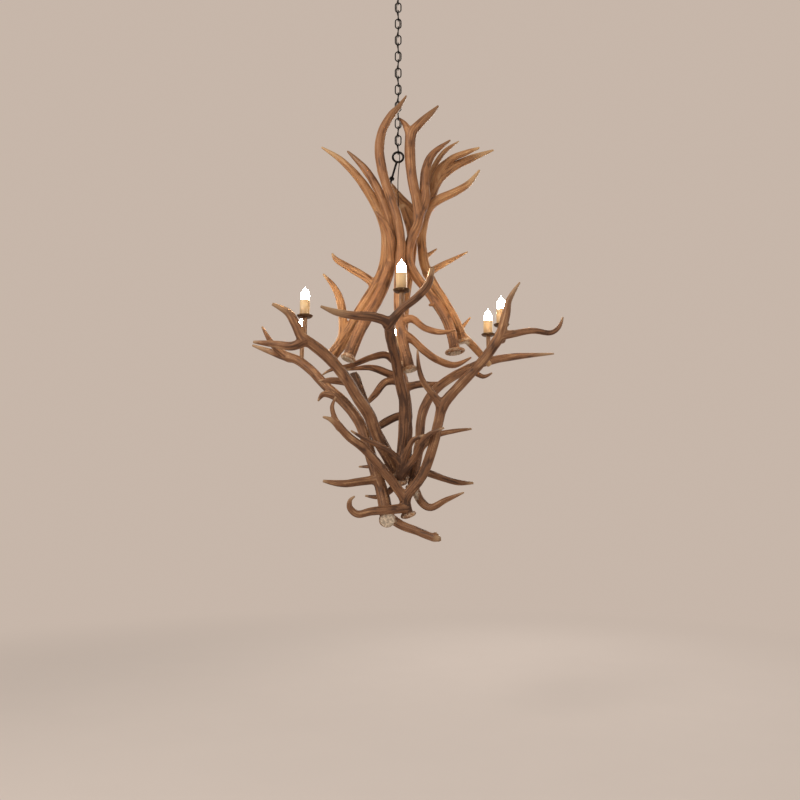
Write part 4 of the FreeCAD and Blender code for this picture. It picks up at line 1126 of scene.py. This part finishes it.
# %% Put the six lamps together
SPOTS = [node.removeprefix("candle_dish_") for node in sorted(frame["nodes"])
         if node.startswith("candle_dish_")]


def axis_of(node):
    low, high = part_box(node)
    return (low[0] + high[0]) / 2, (low[1] + high[1]) / 2, low[2]


def lamp(spot, seed):
    dish_at, sleeve_at = axis_of("candle_dish_" + spot), axis_of("candle_sleeve_" + spot)
    socket_top = sleeve_at[2] + 50 * MM
    dish = plain_object("dish_" + spot, lathe("dish_" + spot, DISH, dish_at, FINISHES["dish_metal"]))
    stand_for(dish, "candle_dish_" + spot)
    mesh = lathe("sleeve_" + spot, SLEEVE, sleeve_at, FINISHES["candle_ivory"], wax_runs(seed))
    heights = np.array([v.co.z for v in mesh.vertices]) - sleeve_at[2]
    store(mesh, "foot", 1 - np.clip(heights / (62 * MM), 0, 1))
    stand_for(plain_object("sleeve_" + spot, mesh), "candle_sleeve_" + spot)
    bulb_at = (*sleeve_at[:2], socket_top)
    mesh = lathe("glass_" + spot, GLASS, bulb_at, FINISHES["bulb_glass"])
    heights = np.array([v.co.z for v in mesh.vertices]) - socket_top
    store(mesh, "up", np.clip(heights / (62 * MM), 0, 1))
    stand_for(plain_object("glass_" + spot, mesh), "candle_bulb_" + spot)
    collar = plain_object("bulb_collar_" + spot,
                          lathe("bulb_collar_" + spot, COLLAR, bulb_at, FINISHES["bulb_cap"]))
    stand_for(collar, "candle_bulb_" + spot)


for seed, spot in enumerate(SPOTS, start=11):
    lamp(spot, seed)
print("lamps:", ", ".join(SPOTS))

# %% [markdown]
# ## The rest of the metal
# The ceiling plate, the canopy, its tube and loop, the eye bolt, its nut, the stems and the sockets have
# their true shape already, so they stay as they are and only get a finish.

# %% Dress the solids that stay
KEPT = ["ceiling_plate", "ceiling_canopy", "canopy_tube", "canopy_loop", "hanging_eye_bolt", "eye_jam_nut",
        "candle_stems", "lamp_sockets"]
for node in KEPT:
    thing = frame["nodes"][node]
    for slot in thing.material_slots:
        slot.material = FINISHES[SLOT_OF[node]]
print("kept solids:", len(KEPT))

# %% [markdown]
# ## Floor, light and camera
# The light is plain: a wide soft lamp at the front left, a weaker one at the right, one behind for the
# edges, and a warm grey world that fills the shadows. The floor takes the shadow near the lamp and turns
# into the colour of the world further out, so that no edge shows. The camera stands where the photograph
# was taken, low and a little under the antlers, and looks up at them.

# %% The studio
FLOOR_Z = -3.05
PALE = (0.57, 0.47, 0.40)
CLOTH = (0.66, 0.59, 0.555)
# the floor is cloth up to NEAR metres from the lamp's axis, and by FAR it has the colour behind it
NEAR, FAR, WIDE = 1.2, 4.5, 60.0


def studio():
    f = Finish("pale_floor")
    speck = f.noise(scale=3, detail=2)
    shade = f.mix(speck, tuple(0.97 * c for c in CLOTH), CLOTH)
    cloth = f.node("ShaderNodeBsdfDiffuse", {}, {"Color": shade})
    distant = f.node("ShaderNodeEmission", {}, {"Color": (*PALE, 1)})
    away = f.node("ShaderNodeVectorMath", {"operation": "LENGTH"}, {0: f.place()}, output="Value")
    both = f.node("ShaderNodeMixShader", {}, {0: f.spread(away, NEAR, FAR), 1: cloth, 2: distant})
    f.node("ShaderNodeOutputMaterial", {}, {"Surface": both})
    mesh = bpy.data.meshes.new("floor")
    corners = [(-WIDE, -WIDE), (WIDE, -WIDE), (WIDE, WIDE), (-WIDE, WIDE)]
    mesh.from_pydata([(x, y, 0) for x, y in corners], [], [(0, 1, 2, 3)])
    mesh.materials.append(f.material)
    floor = plain_object("floor", mesh)
    floor.location.z = FLOOR_Z
    world = bpy.data.worlds.new("studio")
    bpy.context.scene.world = world
    world.use_nodes = True
    nodes, links = world.node_tree.nodes, world.node_tree.links
    nodes.clear()
    seen, fill = nodes.new("ShaderNodeBackground"), nodes.new("ShaderNodeBackground")
    seen.inputs["Color"].default_value = (*PALE, 1)
    fill.inputs["Color"].default_value = (1.0, 0.94, 0.86, 1)
    fill.inputs["Strength"].default_value = 0.36
    ray, mix, out = (nodes.new(kind) for kind in ("ShaderNodeLightPath", "ShaderNodeMixShader",
                                                  "ShaderNodeOutputWorld"))
    links.new(ray.outputs["Is Camera Ray"], mix.inputs[0])
    links.new(fill.outputs[0], mix.inputs[1])
    links.new(seen.outputs[0], mix.inputs[2])
    links.new(mix.outputs[0], out.inputs[0])


def soft_lamp(name, place, target, size, power, colour=(1, 1, 1)):
    data = bpy.data.lights.new(name, "AREA")
    data.size = size
    data.energy = power
    data.color = colour
    lamp_object = plain_object(name, data)
    lamp_object.location = place
    lamp_object.rotation_euler = (Vector(target) - Vector(place)).to_track_quat("-Z", "Y").to_euler()


studio()
HEART = (0, 0, -1.5)
soft_lamp("key", (-2.6, -3.2, 0.6), HEART, 1.8, 135, (1.0, 0.93, 0.84))
soft_lamp("fill", (3.4, -2.4, -0.8), HEART, 2.6, 30, (1.0, 0.95, 0.90))
soft_lamp("edge", (1.6, 3.4, 0.2), HEART, 2.2, 95, (1.0, 0.93, 0.85))

# %% The camera
FOCAL_IN_PIXELS = 756
PICTURE_WIDTH = 800
CAMERA_PLACE = (0.0075, -2.840, -2.190)
PITCH_UP = 8.6

camera_data = bpy.data.cameras.new("photograph")
camera_data.sensor_width = 36
camera_data.lens = camera_data.sensor_width * FOCAL_IN_PIXELS / PICTURE_WIDTH
camera = plain_object("photograph", camera_data)
camera.location = CAMERA_PLACE
camera.rotation_euler = (math.radians(90 + PITCH_UP), 0, 0)
bpy.context.scene.camera = camera
bpy.context.scene.view_settings.view_transform = "Standard"
print("camera at", CAMERA_PLACE)
